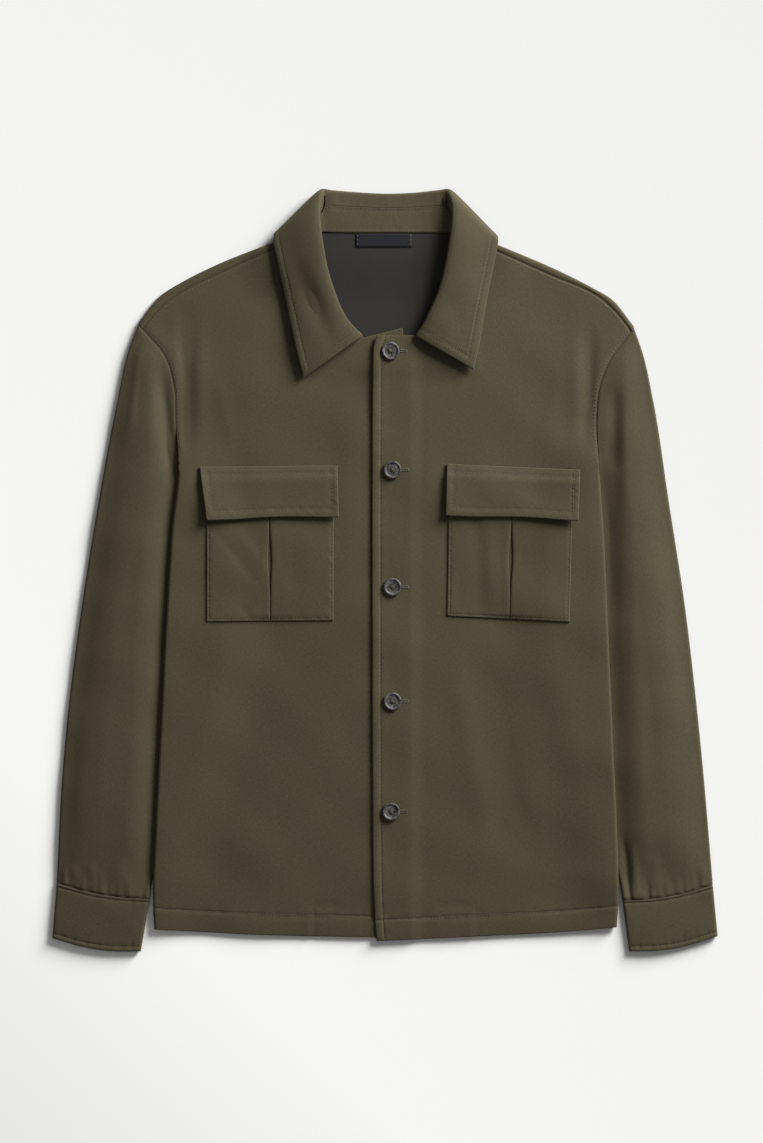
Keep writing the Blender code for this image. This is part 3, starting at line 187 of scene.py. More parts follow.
# ---- Main folds of the upper cloth
Fold = namedtuple("Fold", "x0 y0 x1 y1 width height")
FOLDS = rows(Fold,
    (-197, 272, -198, 96, 7.5, -2.2),  # beside the right armhole
    (-186, 262, -184, 120, 9, 0.8),
    (204, 250, 199, 110, 8, -2),  # beside the left armhole
    (190, 262, 196, 120, 9, 0.9),
    (-225, 214, -214, 92, 7, -2.6),  # inner side of the right sleeve
    (-248, 228, -263, 110, 10, 1),
    (230, 190, 226, 92, 8, -2.4),  # inner side of the left sleeve
    (252, 226, 274, 70, 11, 0.9),
    (86, -67, 135, -300, 22, -0.8),  # slanting hollow in the left front
    (-60, 60, -110, -60, 26, 0.5),
    (40, 190, 42, -20, 14, 0.7),  # beside the buttons
    (-36, 200, -34, -40, 14, 0.7),
    (-150, 250, -120, 130, 24, 0.6),
    (150, 250, 122, 130, 24, 0.6),
    (-311, -322, -311, -290, 5, 0.9),  # gathers above the right cuff
    (-294, -324, -293, -288, 5, 0.9),
    (-262, -326, -264, -285, 7, 0.7),
    (244, -326, 240, -262, 4.5, -1.2),  # pleat and gathers above the left cuff
    (270, -324, 268, -280, 7, 0.8),
    (318, -320, 318, -292, 5, 0.9),
)

# ---- Collar: one row for each section, from the wearer's right front end to the left
CollarRow = namedtuple(
    "CollarRow", "neck_x neck_y roll_x roll_y roll_z cut_x cut_y lift turn under")
COLLAR = rows(CollarRow,
    # lift is the leaf's height over the front, turn the way over the roll in degrees,
    # and under is 1 where the leaf's edge lies beneath the back
    (-24, 235.5, -22, 235, 11.5, -81.5, 192.5, 2.2, 0, 0),
    (-47, 256, -40, 256, 15, -89.5, 225, 2.4, 0, 0),
    (-61, 288, -54, 291, 18.5, -97.5, 262, 2.2, 0, 0),
    (-70, 318, -62, 331, 21, -106, 302, 1.6, 0, 0),
    (-72, 332, -65, 358, 20, -111.5, 327, 1.2, 8, 0),
    (-70.5, 337, -64.5, 371.5, 17.5, -111.5, 332.5, 1, 25, 0.06),
    (-67, 338.8, -62.5, 379.5, 12, -110.5, 337, 0.6, 62, 0.45),
    (-58, 338.4, -51, 380, 8.2, -100, 334.5, 0, 90, 0.90),
    (-30, 338, -30, 378.5, 6.2, -45, 329, 0, 90, 1),
    (0, 338, 0, 377, 6, 0, 327.5, 0, 90, 1),
    (30, 338, 30, 378, 6.2, 45, 329, 0, 90, 1),
    (58.5, 338, 51, 380, 8.2, 102, 332, 0, 90, 0.90),
    (68, 337.6, 63, 379.5, 12, 112, 334.5, 0.6, 62, 0.45),
    (71.5, 335.5, 65.5, 371.5, 17.5, 113, 330, 1, 25, 0.06),
    (73, 330, 66.5, 357, 20, 112.5, 324.5, 1.2, 8, 0),
    (71, 316, 64, 331, 21, 108, 300, 1.6, 0, 0),
    (62, 284, 55, 286, 18.5, 101, 265, 2.2, 0, 0),
    (47.5, 252, 40.5, 251, 15, 95, 230, 2.4, 0, 0),
    (34, 238, 30, 234.5, 12, 88.5, 200.5, 2.2, 0, 0),
)
STAND_SHARE = 0.68  # the stand ends at this share of the way up to the roll
LEAF_BULGE = 2.0  # how far the leaf bows up between the roll and its edge
ROLL_ROUND = 3.0  # radius of the roll
ROLL_REACH = 12.0  # how straight the leaf leaves the roll over the fronts
FOLD_REACH = 28.0  # and where it turns under the back

# ---- Neck lining and label
LINING_HALF_TOP = 62.0
LINING_HALF_LOW = 84.0
LINING_TOP_Y = 337.3
LINING_LOW_Y = 206.0
LINING_FADE = 16.0
LABEL_BOX = (-29, 323.5, 27, 336.8)

# ---- Pockets, flaps and buttons
Patch = namedtuple("Patch", "low_in low_out top_in top_out")
POCKETS = {
    "right": Patch((-51.5, -49.5), (-178, -50.5), (-51, 90), (-178, 89)),
    "left": Patch((62, -45), (184, -51), (64, 91), (187.5, 86)),
}
FLAPS = {
    "right": Patch((-46, 54.5), (-177.5, 51.3), (-47.5, 105.5), (-185, 104)),
    "left": Patch((60.5, 56), (192.5, 50.4), (61.8, 107), (194.7, 101)),
}
PLEAT_X = {"right": (-114.4, -115.8), "left": (124.3, 127.2)}  # at the pocket's foot and top
PLEAT_HALF = 17.0  # cloth folded under on each side of the pleat's slit
PLEAT_EXTRA = 0.9
SLIT_DEPTH = 1.5
SlitRow = namedtuple("SlitRow", "share width")
SLIT = rows(SlitRow, (0, 0.5), (0.2, 0.7), (0.31, 2), (0.4, 3.5),
        (0.5, 3.4), (0.6, 1.6), (0.7, 0.6), (1, 0.5))
FLAP_CLEAR = CLOTH + PLEAT_EXTRA + 2 * SEAM_GAP
FLAP_CORNER_LIFT = 1.6
BUTTON_RADIUS = 9.0
BUTTON_HEIGHT = 3.0
BUTTON_DISH = 0.9
BUTTON_HOLE_RADIUS = 1.0
BUTTON_HOLE_REACH = 2.4
BUTTONS = rows(PlanPoint, (5.5, 219.5), (7.5, 101), (7.5, -16),
           (7.5, -130), (6, -240))

SIGN = {"right": -1, "left": 1.0}

# ---- Finer creases, seen only in the dressed shirt
CREASES = rows(Fold,
    (-203, 268, -201, 180, 3.2, -0.9),  # sharp core of the folds by the armholes
    (208, 246, 203, 150, 3.4, -0.9),
    (-212, 262, -206, 190, 4, 0.5),
    (-176, 210, -150, 120, 9, 0.5),
    (176, 214, 158, 110, 10, 0.5),
    (-221, 190, -213, 88, 4, -0.9),  # inner side of the sleeves
    (232, 206, 231, 40, 6.5, -0.9),
    (222, 120, 226, -60, 9, -0.8),
    (-243, 236, -256, 130, 4, 0.7),
    (258, 232, 279, 92, 5, 0.7),
    (-262, 60, -284, -120, 14, 0.5),
    (262, 40, 292, -140, 15, 0.5),
    (-240, -40, -250, -200, 11, -0.5),
    (262, -60, 266, -240, 12, -0.5),
    (-300, -150, -306, -270, 9, 0.5),
    (304, -130, 309, -262, 9, 0.5),
    (-322, -332, -319, -292, 2.6, 0.6),  # gathers above the right cuff
    (-310.5, -336, -309, -300, 2.4, -0.6),
    (-303, -336, -301, -298, 2.8, 0.4),
    (-292.5, -338, -293, -301, 2.2, -0.6),
    (-284, -338, -283, -296, 3.4, 0.3),
    (-270, -338, -272, -304, 3, -0.3),
    (-256, -338, -258, -300, 3.6, 0.4),
    (-243, -338, -246, -306, 2.6, -0.3),
    (247, -342, 238, -262, 1.9, -1.5),  # pleat and gathers above the left cuff
    (253, -342, 246, -270, 3.6, 0.8),
    (264, -340, 263, -304, 2.6, -0.5),
    (279, -340, 277, -300, 4.2, 0.5),
    (297, -340, 296, -306, 3.6, 0.6),
    (320, -334, 319.5, -300, 2.2, -0.8),
    (66, -60, 108, -300, 14, 1),  # beside the slanting hollow
    (118, -60, 168, -300, 16, 0.8),
    (96, -70, 146, -310, 9, -0.4),
    (45, -333, 92, -334, 3.4, -0.7),  # small drags above the hem
    (-76, -334, -38, -334, 3.4, -0.6),
    (-205, -120, -170, -250, 20, 0.4),
    (-60, -120, -82, -300, 22, 0.4),
    (186, -80, 205, -260, 18, 0.4),
    (-140, -60, -120, -240, 26, -0.4),
)
FACING_END = {"right": -71, "left": 91.0}  # where the facing behind the hem ends
FACING_STEP = 0.5
PLACKET_RISE = 0.9  # the overlap's free edge stands up a little

# ---- Unevenness, seams and edges
RIPPLE_SEED = 8
RIPPLE_LENGTHS = (64, 83, 108, 141, 190)
PUCKER_LENGTHS = (7.3, 9.6, 13.1, 18.7)
GROOVE_DEPTH = 0.55
GROOVE_WIDTH = 0.95
EDGE_SOFT = 0.9
DITCH_DEPTH = 0.75
DITCH_WIDTH = 1.3
PLACKET_STITCH = 8.0
TAB_STITCH = 3.2
SHOULDER_STITCH = 2.4
ARMHOLE_STITCH = 2.4
CUFF_STITCH = 5.0
CUFF_TOP_STITCH = 3.4
POCKET_STITCH = 2.2
FLAP_STITCH_TOP = 8.0
FLAP_STITCH_SIDE = 6.0
FLAP_STITCH_LOW = 7.5
FLAP_STAND = 1.3  # how far the flap's free edge stands off the pocket
FLAP_WAVE = 0.9
FLAP_WAVES = 6.5
RIGHT_LEAF_STITCH = 7.0
LEFT_LEAF_STITCH = 9.0
STAND_STITCH = 2.6
NECK_STITCH = 3.0
LEAF_STAND = 1.4
STITCH_PROFILE = ((-1, 0.35), (-0.6, 0.9), (0, 1), (0.6, 0.9), (1, 0.35))
STITCH_ANGLES = tuple(math.radians(60 * k) for k in range(6))

# ---- How close the points of each grid stand
BODY_HEIGHT = 600.0
FRONT_WIDTH = 240.0
ROW_SPACING = 3.4
COLUMN_SPACING = 3.4
HEM_STEPS = (0, 0.25, 0.7, 1.3, 2.2, 4, 7, 11, 15, 18, 19.6, 20.4, 21, 21.6, 22.4, 24)
TOP_ROWS = (0.9885, 0.9915, 0.9940, 0.9960, 0.9974, 0.9985, 0.9993, 0.9997, 1)
TOP_CUTS = (0.15, 0.35)
PLACKET_STEPS = (0, 0.25, 0.7, 1.3, 2.2, 3.5, 5, 6.3, 7.1, 7.6, 8, 8.4, 8.9, 9.8, 11)
FOLD_ANGLES = tuple(math.radians(angle) for angle in (0, 12, 25, 38, 50, 62, 76, 90))
UNDERARM_SHARE = 0.78
SLEEVE_GAP = 0.04
SLEEVE_PUFF = 4.2
STRIP_SHARES = (0.12, 0.3, 0.5, 0.68, 0.8, 0.88, 0.93, 0.97, 1)
SLEEVE_LENGTH = 590.0
SLEEVE_START = (0, 0.0008, 0.002, 0.0035, 0.0055, 0.0085, 0.012)
SLEEVE_END = (0.982, 0.986, 0.990, 0.993, 0.9955, 0.9972, 0.9985, 0.9994, 1)
CUFF_STEPS = (0, 0.3, 0.8, 1.5, 2.3, 3, 3.4, 3.8, 4.5, 6, 8, 11, 14, 17.5, 21, 24.5, 28,
              31.5, 35, 38.5, 42, 45, 47.5, 49.2, 49.9, 50.3, 50.8, 52, 53.2, 54.1, 54.6, 54.9, 55.2)
COLLAR_END_STEPS = (0, 0.25, 0.6, 1.1, 1.8, 2.8, 4, 5.2, 6.2, 6.8, 7.3, 7.9, 8.5, 9, 9.5, 10.2, 11.4, 13)
SHOULDER_COLUMNS = 46
COLLAR_ROW_LENGTH = 33.0
COLLAR_MIDDLE = 150
COLLAR_COLUMNS = 22
COLLAR_EDGE_STEPS = (12.8,) + COLLAR_END_STEPS[-2::-1]
STAND_STEPS = (0, 0.03, 0.07, 0.12, 0.16, 0.22, 0.30, 0.40, 0.50, 0.60, 0.70, 0.78, 0.84, 0.88, 0.92,
               0.95, 0.975, 0.99, 1)
PATCH_STEPS = (0, 0.2, 0.5, 0.9, 1.4, 1.9, 2.2, 2.5, 3.1, 4.2)
LIP_STEPS = (0, 0.10, 0.3, 0.6, 1.1, 1.9, 3.2, 5, 6.8)
LIP_HEIGHTS = (0, 0.45, 0.75, 0.95, 1.12, 1.22, 1.22, 1.16, 1.08)
FlankRow = namedtuple("FlankRow", "away rise")
FLANK = rows(FlankRow, (-8, 1), (-5, 0.88), (-2, 0.70), (1, 0.50),
         (4, 0.32), (7, 0.16), (10, 0.05), (13, 0))

# ---- Places where a piece stands up or sinks
Hollow = namedtuple("Hollow", "x y wide high turn height")
LEAF_HOLLOWS = rows(Hollow,
    (-72, 268, 9, 36, 24, -2.2),
    (-98, 292, 9, 40, 12, 0.7),
    (-88, 225, 10, 16, -20, 0.4),
    (84, 292, 13, 42, 8, 0.6),
    (70, 250, 10, 30, 20, -0.5),
)
POCKET_HOLLOWS = {
    "right": rows(Hollow, (-147, 12, 4, 27, 38, -0.7), (-136, 22, 5, 24, 38, 0.6),
              (-138, -42, 3.4, 8, 40, -0.6), (-80, 10, 16, 40, 8, 0.5)),
    "left": rows(Hollow, (104, 20, 7, 60, 3, 0.7), (92, 20, 6, 55, 3, -0.5),
             (160, 0, 13, 38, -10, 0.5)),
}
FLAP_HOLLOWS = {
    "right": rows(Hollow, (-160, 76, 16, 14, 20, 0.5), (-100, 74, 22, 12, -10, -0.4)),
    "left": rows(Hollow, (98, 78, 18, 13, 10, 0.5), (156, 74, 20, 12, -15, -0.4)),
}

# ---- Buttons and buttonholes
BUTTON_RING = 64
BUTTON_PROFILE = (  # radius and height, from the dish over the rim to the foot
    (5.2, 2.05), (6, 2.1), (6.45, 2.3), (6.8, 2.65), (7.2, 2.9), (7.7, 3), (8.2, 2.95), (8.6, 2.7),
    (8.9, 2.3), (9, 1.8), (8.9, 1.2), (8.6, 0.6), (8, 0.15), (7, 0),
)
BUTTON_TURNS = (12, -20, 33, 4, -38)
BUTTONHOLE_REACH = 15.0

# ---- Weave, table, light and camera
TWILL_TURN = math.radians(-58.0)
TWILL_TURNS = {"collar": math.radians(32.0), "cuff": math.radians(32.0)}
CLOTH_BUMP = 0.11
FLOOR_HALF = 6.0
FLOOR_GAP = 0.0003
# FLOOR_KEY and FLOOR_FILL shape the painted light on the table, whose colour is evened out against the
# lamp's fall-off.
FLOOR_KEY = 0.86  # share of the light in the middle that comes from the lamp
FLOOR_FILL = 0.19
KEY_SIZE = 1.5
KEY_PLACE = (2.1, 2.0, 1.3)
CAMERA_LENS = 100.0
CAMERA_SENSOR = 36.0
CAMERA_PLACE = (-0.0035, -0.0005, 3.175)


# ==== What a user would change

def colour_property(name, description, default):
    return FloatVectorProperty(name=name, description=description, default=default,
                               subtype="COLOR", size=3, min=0.0, max=1.0)


def length_property(name, description, default, least):
    return FloatProperty(name=name, description=description, default=default, min=least,
                         unit="LENGTH", subtype="DISTANCE")


class ShirtSizes(PropertyGroup):
    stitch: length_property("Stitch", "Length of one topstitch", 0.0027, 0.001)
    stitch_gap: length_property("Stitch gap", "Cloth between two topstitches", 0.0009, 0.0002)
    thread: length_property("Thread", "Width of the sewing thread", 0.00055, 0.0001)
    pucker: length_property("Pucker", "Height of the small waves beside the sewing", 0.00022, 0.0)
    ripple: length_property("Ripple", "Height of the soft unevenness of the cloth", 0.00042, 0.0)
    twill: length_property("Twill", "Distance between the diagonal lines of the weave", 0.00095, 0.0003)


class ShirtColours(PropertyGroup):
    cloth: colour_property("Cloth", "Olive twill", (0.0543, 0.0461, 0.0248))
    thread: colour_property("Thread", "Sewing thread", (0.0557, 0.0478, 0.0270))
    lining: colour_property("Lining", "Neck lining", (0.0174, 0.0167, 0.0135))
    label: colour_property("Label", "Bare neck label", (0.0074, 0.0077, 0.0100))
    button: colour_property("Button", "Dark horn-like resin", (0.034, 0.0325, 0.030))


class StageLook(PropertyGroup):
    floor: colour_property("Floor", "Pale table", (0.765, 0.765, 0.752))
    key: FloatProperty(name="Key light", description="Power of the window light", default=265.0,
                       min=0.0, unit="POWER")
    fill: FloatProperty(name="Fill", description="Strength of the light from all round", default=0.23,
                        min=0.0)


# ==== Curves and shaping

def spline(knots, values, at):
    """Smooth curve through values, which may be rows, at rising knots."""
    knots = np.asarray(knots, float)
    values = np.asarray(values, float)
    flat = values.ndim == 1
    rows = values[:, None] if flat else values
    at = np.clip(np.asarray(at, float), knots[0], knots[-1])
    step = np.diff(knots)
    slope = np.diff(rows, axis=0) / step[:, None]
    tangent = np.empty_like(rows)
    tangent[0] = slope[0]
    tangent[-1] = slope[-1]
    for i in range(1, len(knots) - 1):
        share = step[i - 1] / (step[i - 1] + step[i])
        tangent[i] = slope[i - 1] * (1 - share) + slope[i] * share
    cell = np.clip(np.searchsorted(knots, at, side="right") - 1, 0, len(step) - 1)
    width = step[cell][..., None]
    t = (at - knots[cell])[..., None] / width
    a = (1 + 2 * t) * (1 - t) ** 2
    b = t * (1 - t) ** 2
    c = t * t * (3 - 2 * t)
    d = t * t * (t - 1)
    out = a * rows[cell] + b * width * tangent[cell] + c * rows[cell + 1] + d * width * tangent[cell + 1]
    return out[..., 0] if flat else out


def reach_along(path):
    """Length of a path up to each of its points."""
    return np.concatenate([[0.0], np.cumsum(np.linalg.norm(np.diff(path, axis=0), axis=1))])


def along(points, shares):
    """Points at shares of the length of a smooth plan path."""
    points = np.asarray(points, float)
    reach = reach_along(points)
    return spline(reach / reach[-1], points, shares)


def ease(t):
    """Smooth step from 0 to 1."""
    t = np.clip(t, 0.0, 1.0)
    return t * t * (3 - 2 * t)


def fade(distance, start, end):
    """One up to start, nothing past end."""
    return 1.0 - ease((np.asarray(distance, float) - start) / (end - start))


def positive(value, softness=0.25):
    """Value held softly above zero."""
    return 0.5 * (value + np.sqrt(value * value + softness * softness))


def edge_points(side, table=BODY_EDGE):
    """One side's edge as plan points, in the order of its table."""
    if side == "right":
        return np.array([(-row.right, row.y_right) for row in table])
    return np.array([(row.left, row.y_left) for row in table])


def half_width(x, y, table=BODY_EDGE):
    """Distance from the middle line to an edge whose table goes up, on the side that x lies on."""
    right = edge_points("right", table)
    left = edge_points("left", table)
    wide_right = spline(right[:, 1], -right[:, 0], y)
    wide_left = spline(left[:, 1], left[:, 0], y)
    return np.where(np.asarray(x) < 0, wide_right, wide_left)


def sleeve_tuck(y):
    """How far a sleeve lies under the body at this height."""
    return spline(*zip(*SLEEVE_TUCK), y)


# ==== Heights of the layers

def folds(x, y):
    """Sum of the tabled ridges and troughs."""
    total = np.zeros(np.broadcast(x, y).shape)
    for fold in FOLDS + CREASES:
        dx = fold.x1 - fold.x0
        dy = fold.y1 - fold.y0
        length = math.hypot(dx, dy)
        t = ((x - fold.x0) * dx + (y - fold.y0) * dy) / length ** 2
        off = ((x - fold.x0) * dy - (y - fold.y0) * dx) / length
        ends = ease(t / 0.3) * ease((1 - t) / 0.3)
        total = total + fold.height * np.exp(-(off / fold.width) ** 2) * ends
    return total


def back_low(x, y):
    """Underside of the back: on the surface, on the sleeves and on the collar leaf."""
    stack = 2 * CLOTH + SLEEVE_TUCK_LOFT + 2 * LAYER_GAP
    inside = half_width(x, y) - np.maximum(sleeve_tuck(y), 4.0) - np.abs(x)
    on_sleeve = fade(inside, 4.0, TUCK_RAMP) * fade(y, UNDERARM_Y, UNDERARM_Y + 48.0)
    on_sleeve = on_sleeve * (1 - 0.75 * fade(y, -352.0, -300.0))
    on_leaf = fade(UNDERLEAF_Y - y, 0.0, UNDERLEAF_RAMP)
    on_leaf = on_leaf * fade(np.abs(x), UNDERLEAF_HALF, UNDERLEAF_HALF + 30.0)
    return stack * on_sleeve + UNDERLEAF_LIFT * on_leaf


def lining_cover(x, y):
    """One over the neck lining, fading out past its edges."""
    across = fade(np.abs(x), LINING_HALF_LOW, LINING_HALF_LOW + LINING_FADE)
    return across * fade(LINING_LOW_Y - y, 0.0, LINING_FADE)


def seam_loft(y):
    """Air under the armhole seam, closing down towards the underarm."""
    open_loft = CHEST_LOFT + EDGE_LOFT
    return SLEEVE_TUCK_LOFT + (open_loft - SLEEVE_TUCK_LOFT) * ease((y - UNDERARM_Y) / 40.0)


def front_top(side, x, y):
    """Upper face of a front, and of the whole shirt where no sleeve or collar lies on it."""
    from_edge = half_width(x, y) - np.abs(x)
    loft = CHEST_LOFT + EDGE_LOFT * np.exp(-(from_edge / EDGE_LOFT_REACH) ** 2)
    base = back_low(x, y) + CLOTH + LAYER_GAP + (LINING + LAYER_GAP) * lining_cover(x, y)
    if side == "left":
        base = base + (CLOTH + LAYER_GAP) * fade(x, *OVERLAP_FADE)
    loft = loft + folds(x, y) + sizes().ripple / MM * ripples(x, y)
    return base + positive(loft) + CLOTH


def sleeve_top(x, y):
    """Upper face of a sleeve."""
    from_fold = half_width(x, y, SLEEVE_EDGE[::-1]) - np.abs(x)
    from_body = np.maximum(np.abs(x) - half_width(x, y), 0.0)
    inner = SLEEVE_EDGE_LOFT + (SLEEVE_LOFT - SLEEVE_EDGE_LOFT) * ease(from_fold / 26.0)
    near = np.exp(-(from_body / 13.0) ** 2)
    near = near * fade(-y, 300.0, 326.0)
    loft = near * seam_loft(y) + (1 - near) * inner
    shown = fade(-from_body, -0.5, 3.0)
    puff = SLEEVE_PUFF * ease(from_fold / 42.0) * ease(from_body / 30.0) * ease((y + 318.0) / 60.0)
    uneven = folds(x, y) + sizes().ripple / MM * ripples(x, y) + puff
    return 2 * CLOTH + LAYER_GAP + positive(loft + uneven * shown)


# ==== Finer relief

def ripples(x, y):
    """Soft unevenness of cloth that lies loose, of height one."""
    turns = np.random.default_rng(RIPPLE_SEED)
    total = np.zeros(np.broadcast(x, y).shape)
    for length in RIPPLE_LENGTHS:
        angle = turns.uniform(0.0, math.pi)
        start = turns.uniform(0.0, 2 * math.pi)
        across = x * math.cos(angle) + y * math.sin(angle)
        bend = 26.0 * np.sin((x * math.sin(angle) - y * math.cos(angle)) / 83.0 + start * 3)
        total = total + np.sin(2 * math.pi * (across + bend) / length + start)
    return total / math.sqrt(len(RIPPLE_LENGTHS))


def puckers(place, seed):
    """Small uneven waves along a seam, of height one."""
    turns = np.random.default_rng(seed)
    total = np.zeros(np.shape(place))
    for length in PUCKER_LENGTHS:
        start = turns.uniform(0.0, 2 * math.pi)
        swell = 0.6 + 0.4 * np.sin(place / (length * 5.3) + start * 2)
        total = total + swell * np.sin(2 * math.pi * place / length + start)
    return total / math.sqrt(len(PUCKER_LENGTHS))


def sewn(distance, stitch, place, seed, puff):
    """Relief beside a sewn edge: a groove at the stitches, a soft roll outside it and puckers."""
    groove = -GROOVE_DEPTH * np.exp(-((distance - stitch) / GROOVE_WIDTH) ** 2)
    roll = puff * np.sin(np.pi * np.clip(distance / stitch, 0.0, 1.0)) ** 0.6
    pucker = sizes().pucker / MM * puckers(place, seed) * np.exp(-((distance - stitch) / 5.0) ** 2)
    return groove + roll + pucker


def edge_fall(distance, reach=EDGE_SOFT):
    """Share by which a cut or folded edge is rounded off."""
    t = np.clip(1.0 - np.maximum(distance, 0.0) / reach, 0.0, 1.0)
    return 1.0 - np.sqrt(np.maximum(1.0 - t * t, 0.0))


def seam_ditch(distance):
    """Hollow where a panel is sewn to its neighbour."""
    return -DITCH_DEPTH * np.exp(-(np.maximum(distance, 0.0) / DITCH_WIDTH) ** 2)


def path_distance(plan, path):
    """Distance of plan points from a polyline, and their place along it."""
    points = plan.reshape(-1, 2)
    best = np.full(len(points), 1e9)
    place = np.zeros(len(points))
    reach = reach_along(path)
    for i in range(len(path) - 1):
        step = path[i + 1] - path[i]
        length = float(np.hypot(*step))
        t = np.clip(((points - path[i]) @ step) / length ** 2, 0.0, 1.0)
        away = np.hypot(*(points - path[i] - t[:, None] * step).T)
        near = away < best
        best[near] = away[near]
        place[near] = (reach[i] + t * length)[near]
    return best.reshape(plan.shape[:-1]), place.reshape(plan.shape[:-1])


def steps_from(edge, near, far, spacing):
    """Distances from an edge: the near ones as listed, then evenly spaced up to far."""
    count = max(int(round((far - near[-1]) / spacing)), 1)
    return np.concatenate([np.array(near[:-1]), np.linspace(near[-1], far, count + 1)]) + edge


def close_at_ends(near, whole, count):
    """Distances across a whole length: as listed near both ends, evenly spaced between."""
    near = np.array(near)
    return np.concatenate([near[:-1], np.linspace(near[-1], whole - near[-1], count),
                           whole - near[:-1][::-1]])


# ==== Meshes

def sizes():
    return bpy.context.scene.shirt_sizes


def colours():
    return bpy.context.scene.shirt_colours


def unit(vectors):
    return vectors / np.maximum(np.linalg.norm(vectors, axis=-1, keepdims=True), 1e-9)


def stack(plan, z):
    """Plan points (..., 2) and heights joined into points (..., 3)."""
    return np.concatenate([plan, np.asarray(z)[..., None]], axis=-1)


def inward(path, towards):
    """Plan directions square to a path, pointing to one side of it: towards is 1 or -1."""
    step = unit(np.gradient(path, axis=0))
    return towards * np.stack([step[:, 1], -step[:, 0]], axis=-1)


def grid_normals(grid):
    """Unit normals of a grid of points."""
    return unit(np.cross(np.gradient(grid, axis=0), np.gradient(grid, axis=1)))


def cloth_lengths(grid):
    """Flat coordinates of a grid, measured along its rows and columns, in metres."""
    along_row = np.zeros(grid.shape[:2])
    along_row[:, 1:] = np.cumsum(np.linalg.norm(np.diff(grid, axis=1), axis=2), axis=1)
    up_column = np.zeros(grid.shape[:2])
    up_column[1:] = np.cumsum(np.linalg.norm(np.diff(grid, axis=0), axis=2), axis=0)
    return np.stack([along_row, up_column], axis=-1) * MM


class Wall:
    """A cloth shell: matching outer and inner points, cells between them, and a rim round it."""

    def __init__(self):
        self.outer = []
        self.inner = []
        self.wear = []
        self.cells = []
        self.flats = []
        self.index = {}

    def point(self, outer, inner, wear):
        key = (*outer, *inner)
        if key not in self.index:
            self.index[key] = len(self.outer)
            self.outer.append(outer)
            self.inner.append(inner)
            self.wear.append(wear)
        return self.index[key]

    def grid(self, outer, inner, wear=None, flat=None):
        rows, columns = outer.shape[:2]
        flat = outer[..., :2] * MM if flat is None else flat
        wear = np.zeros((rows, columns)) if wear is None else wear
        tops = np.round(outer, 4).tolist()
        lows = np.round(inner, 4).tolist()
        flats = flat.tolist()
        ids = [[self.point(tuple(tops[j][i]), tuple(lows[j][i]), float(wear[j, i]))
                for i in range(columns)] for j in range(rows)]
        for j in range(rows - 1):
            for i in range(columns - 1):
                corners = ((j, i), (j, i + 1), (j + 1, i + 1), (j + 1, i))
                cell = {}
                for a, b in corners:
                    cell.setdefault(ids[a][b], flats[a][b])
                if len(cell) > 2:
                    self.cells.append(tuple(cell))
                    self.flats.append(list(cell.values()))

    def build(self, name, look):
        count = len(self.outer)
        faces = []
        flats = []
        uses = {}
        for cell, flat in zip(self.cells, self.flats):
            faces.append(cell)
            flats.extend(flat)
            faces.append(tuple(i + count for i in reversed(cell)))
            flats.extend(reversed(flat))
            for k, a in enumerate(cell):
                b = cell[(k + 1) % len(cell)]
                pair = (min(a, b), max(a, b))
                uses.setdefault(pair, []).append((a, b, flat[k], flat[(k + 1) % len(cell)]))
        for edges in uses.values():
            if len(edges) == 1:
                a, b, flat_a, flat_b = edges[0]
                faces.append((b, a, a + count, b + count))
                flats.extend([flat_b, flat_a, flat_a, flat_b])
        data = bpy.data.meshes.new(name)
        data.from_pydata([[v * MM for v in p] for p in self.outer + self.inner], [], faces)
        layer = data.uv_layers.new(name="flat")
        layer.data.foreach_set("uv", np.array(flats, dtype=np.float32).ravel())
        worn = data.attributes.new("wear", "FLOAT", "POINT")
        worn.data.foreach_set("value", np.array(self.wear + self.wear, dtype=np.float32))
        return finish(data, name, look)


def add_object(name, data):
    placed = bpy.data.objects.new(name, data)
    bpy.context.scene.collection.objects.link(placed)
    return placed


def finish(data, name, look):
    """Make a mesh an object of the shirt with its finish."""
    mesh = bmesh.new()
    mesh.from_mesh(data)
    bmesh.ops.recalc_face_normals(mesh, faces=mesh.faces)
    mesh.to_mesh(data)
    mesh.free()
    data.shade_smooth()
    data.set_sharp_from_angle(angle=math.radians(55.0))
    data.materials.append(look)
    placed = add_object(name, data)
    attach(placed, "root")
    return placed


def stands_for(piece, node):
    """The piece takes its node's place: the node is hidden."""
    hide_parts(node)
    return piece


def cover(name, look, *grids, node=None, slot="cloth"):
    """Build a piece's shell from its grids, in the place of the node of the same name."""
    wall = Wall()
    for grid in grids:
        wall.grid(*grid)
    return stands_for(wall.build("shirt_" + name, look), node or name)


# ==== Sewing

def resample(line, normals, pitch):
    """Places at every pitch along a line, with directions and normals there."""
    reach = reach_along(line)
    count = int(reach[-1] / pitch)
    places = (np.arange(count) + 0.5) * reach[-1] / max(count, 1)

    def sample(at, values):
        return np.stack([np.interp(at, reach, values[:, k]) for k in range(3)], axis=1)

    up = unit(sample(places, normals))
    way = sample(places + 0.4, line) - sample(places - 0.4, line)
    way = unit(way - np.sum(way * up, axis=1)[:, None] * up)
    return sample(places, line), way, up


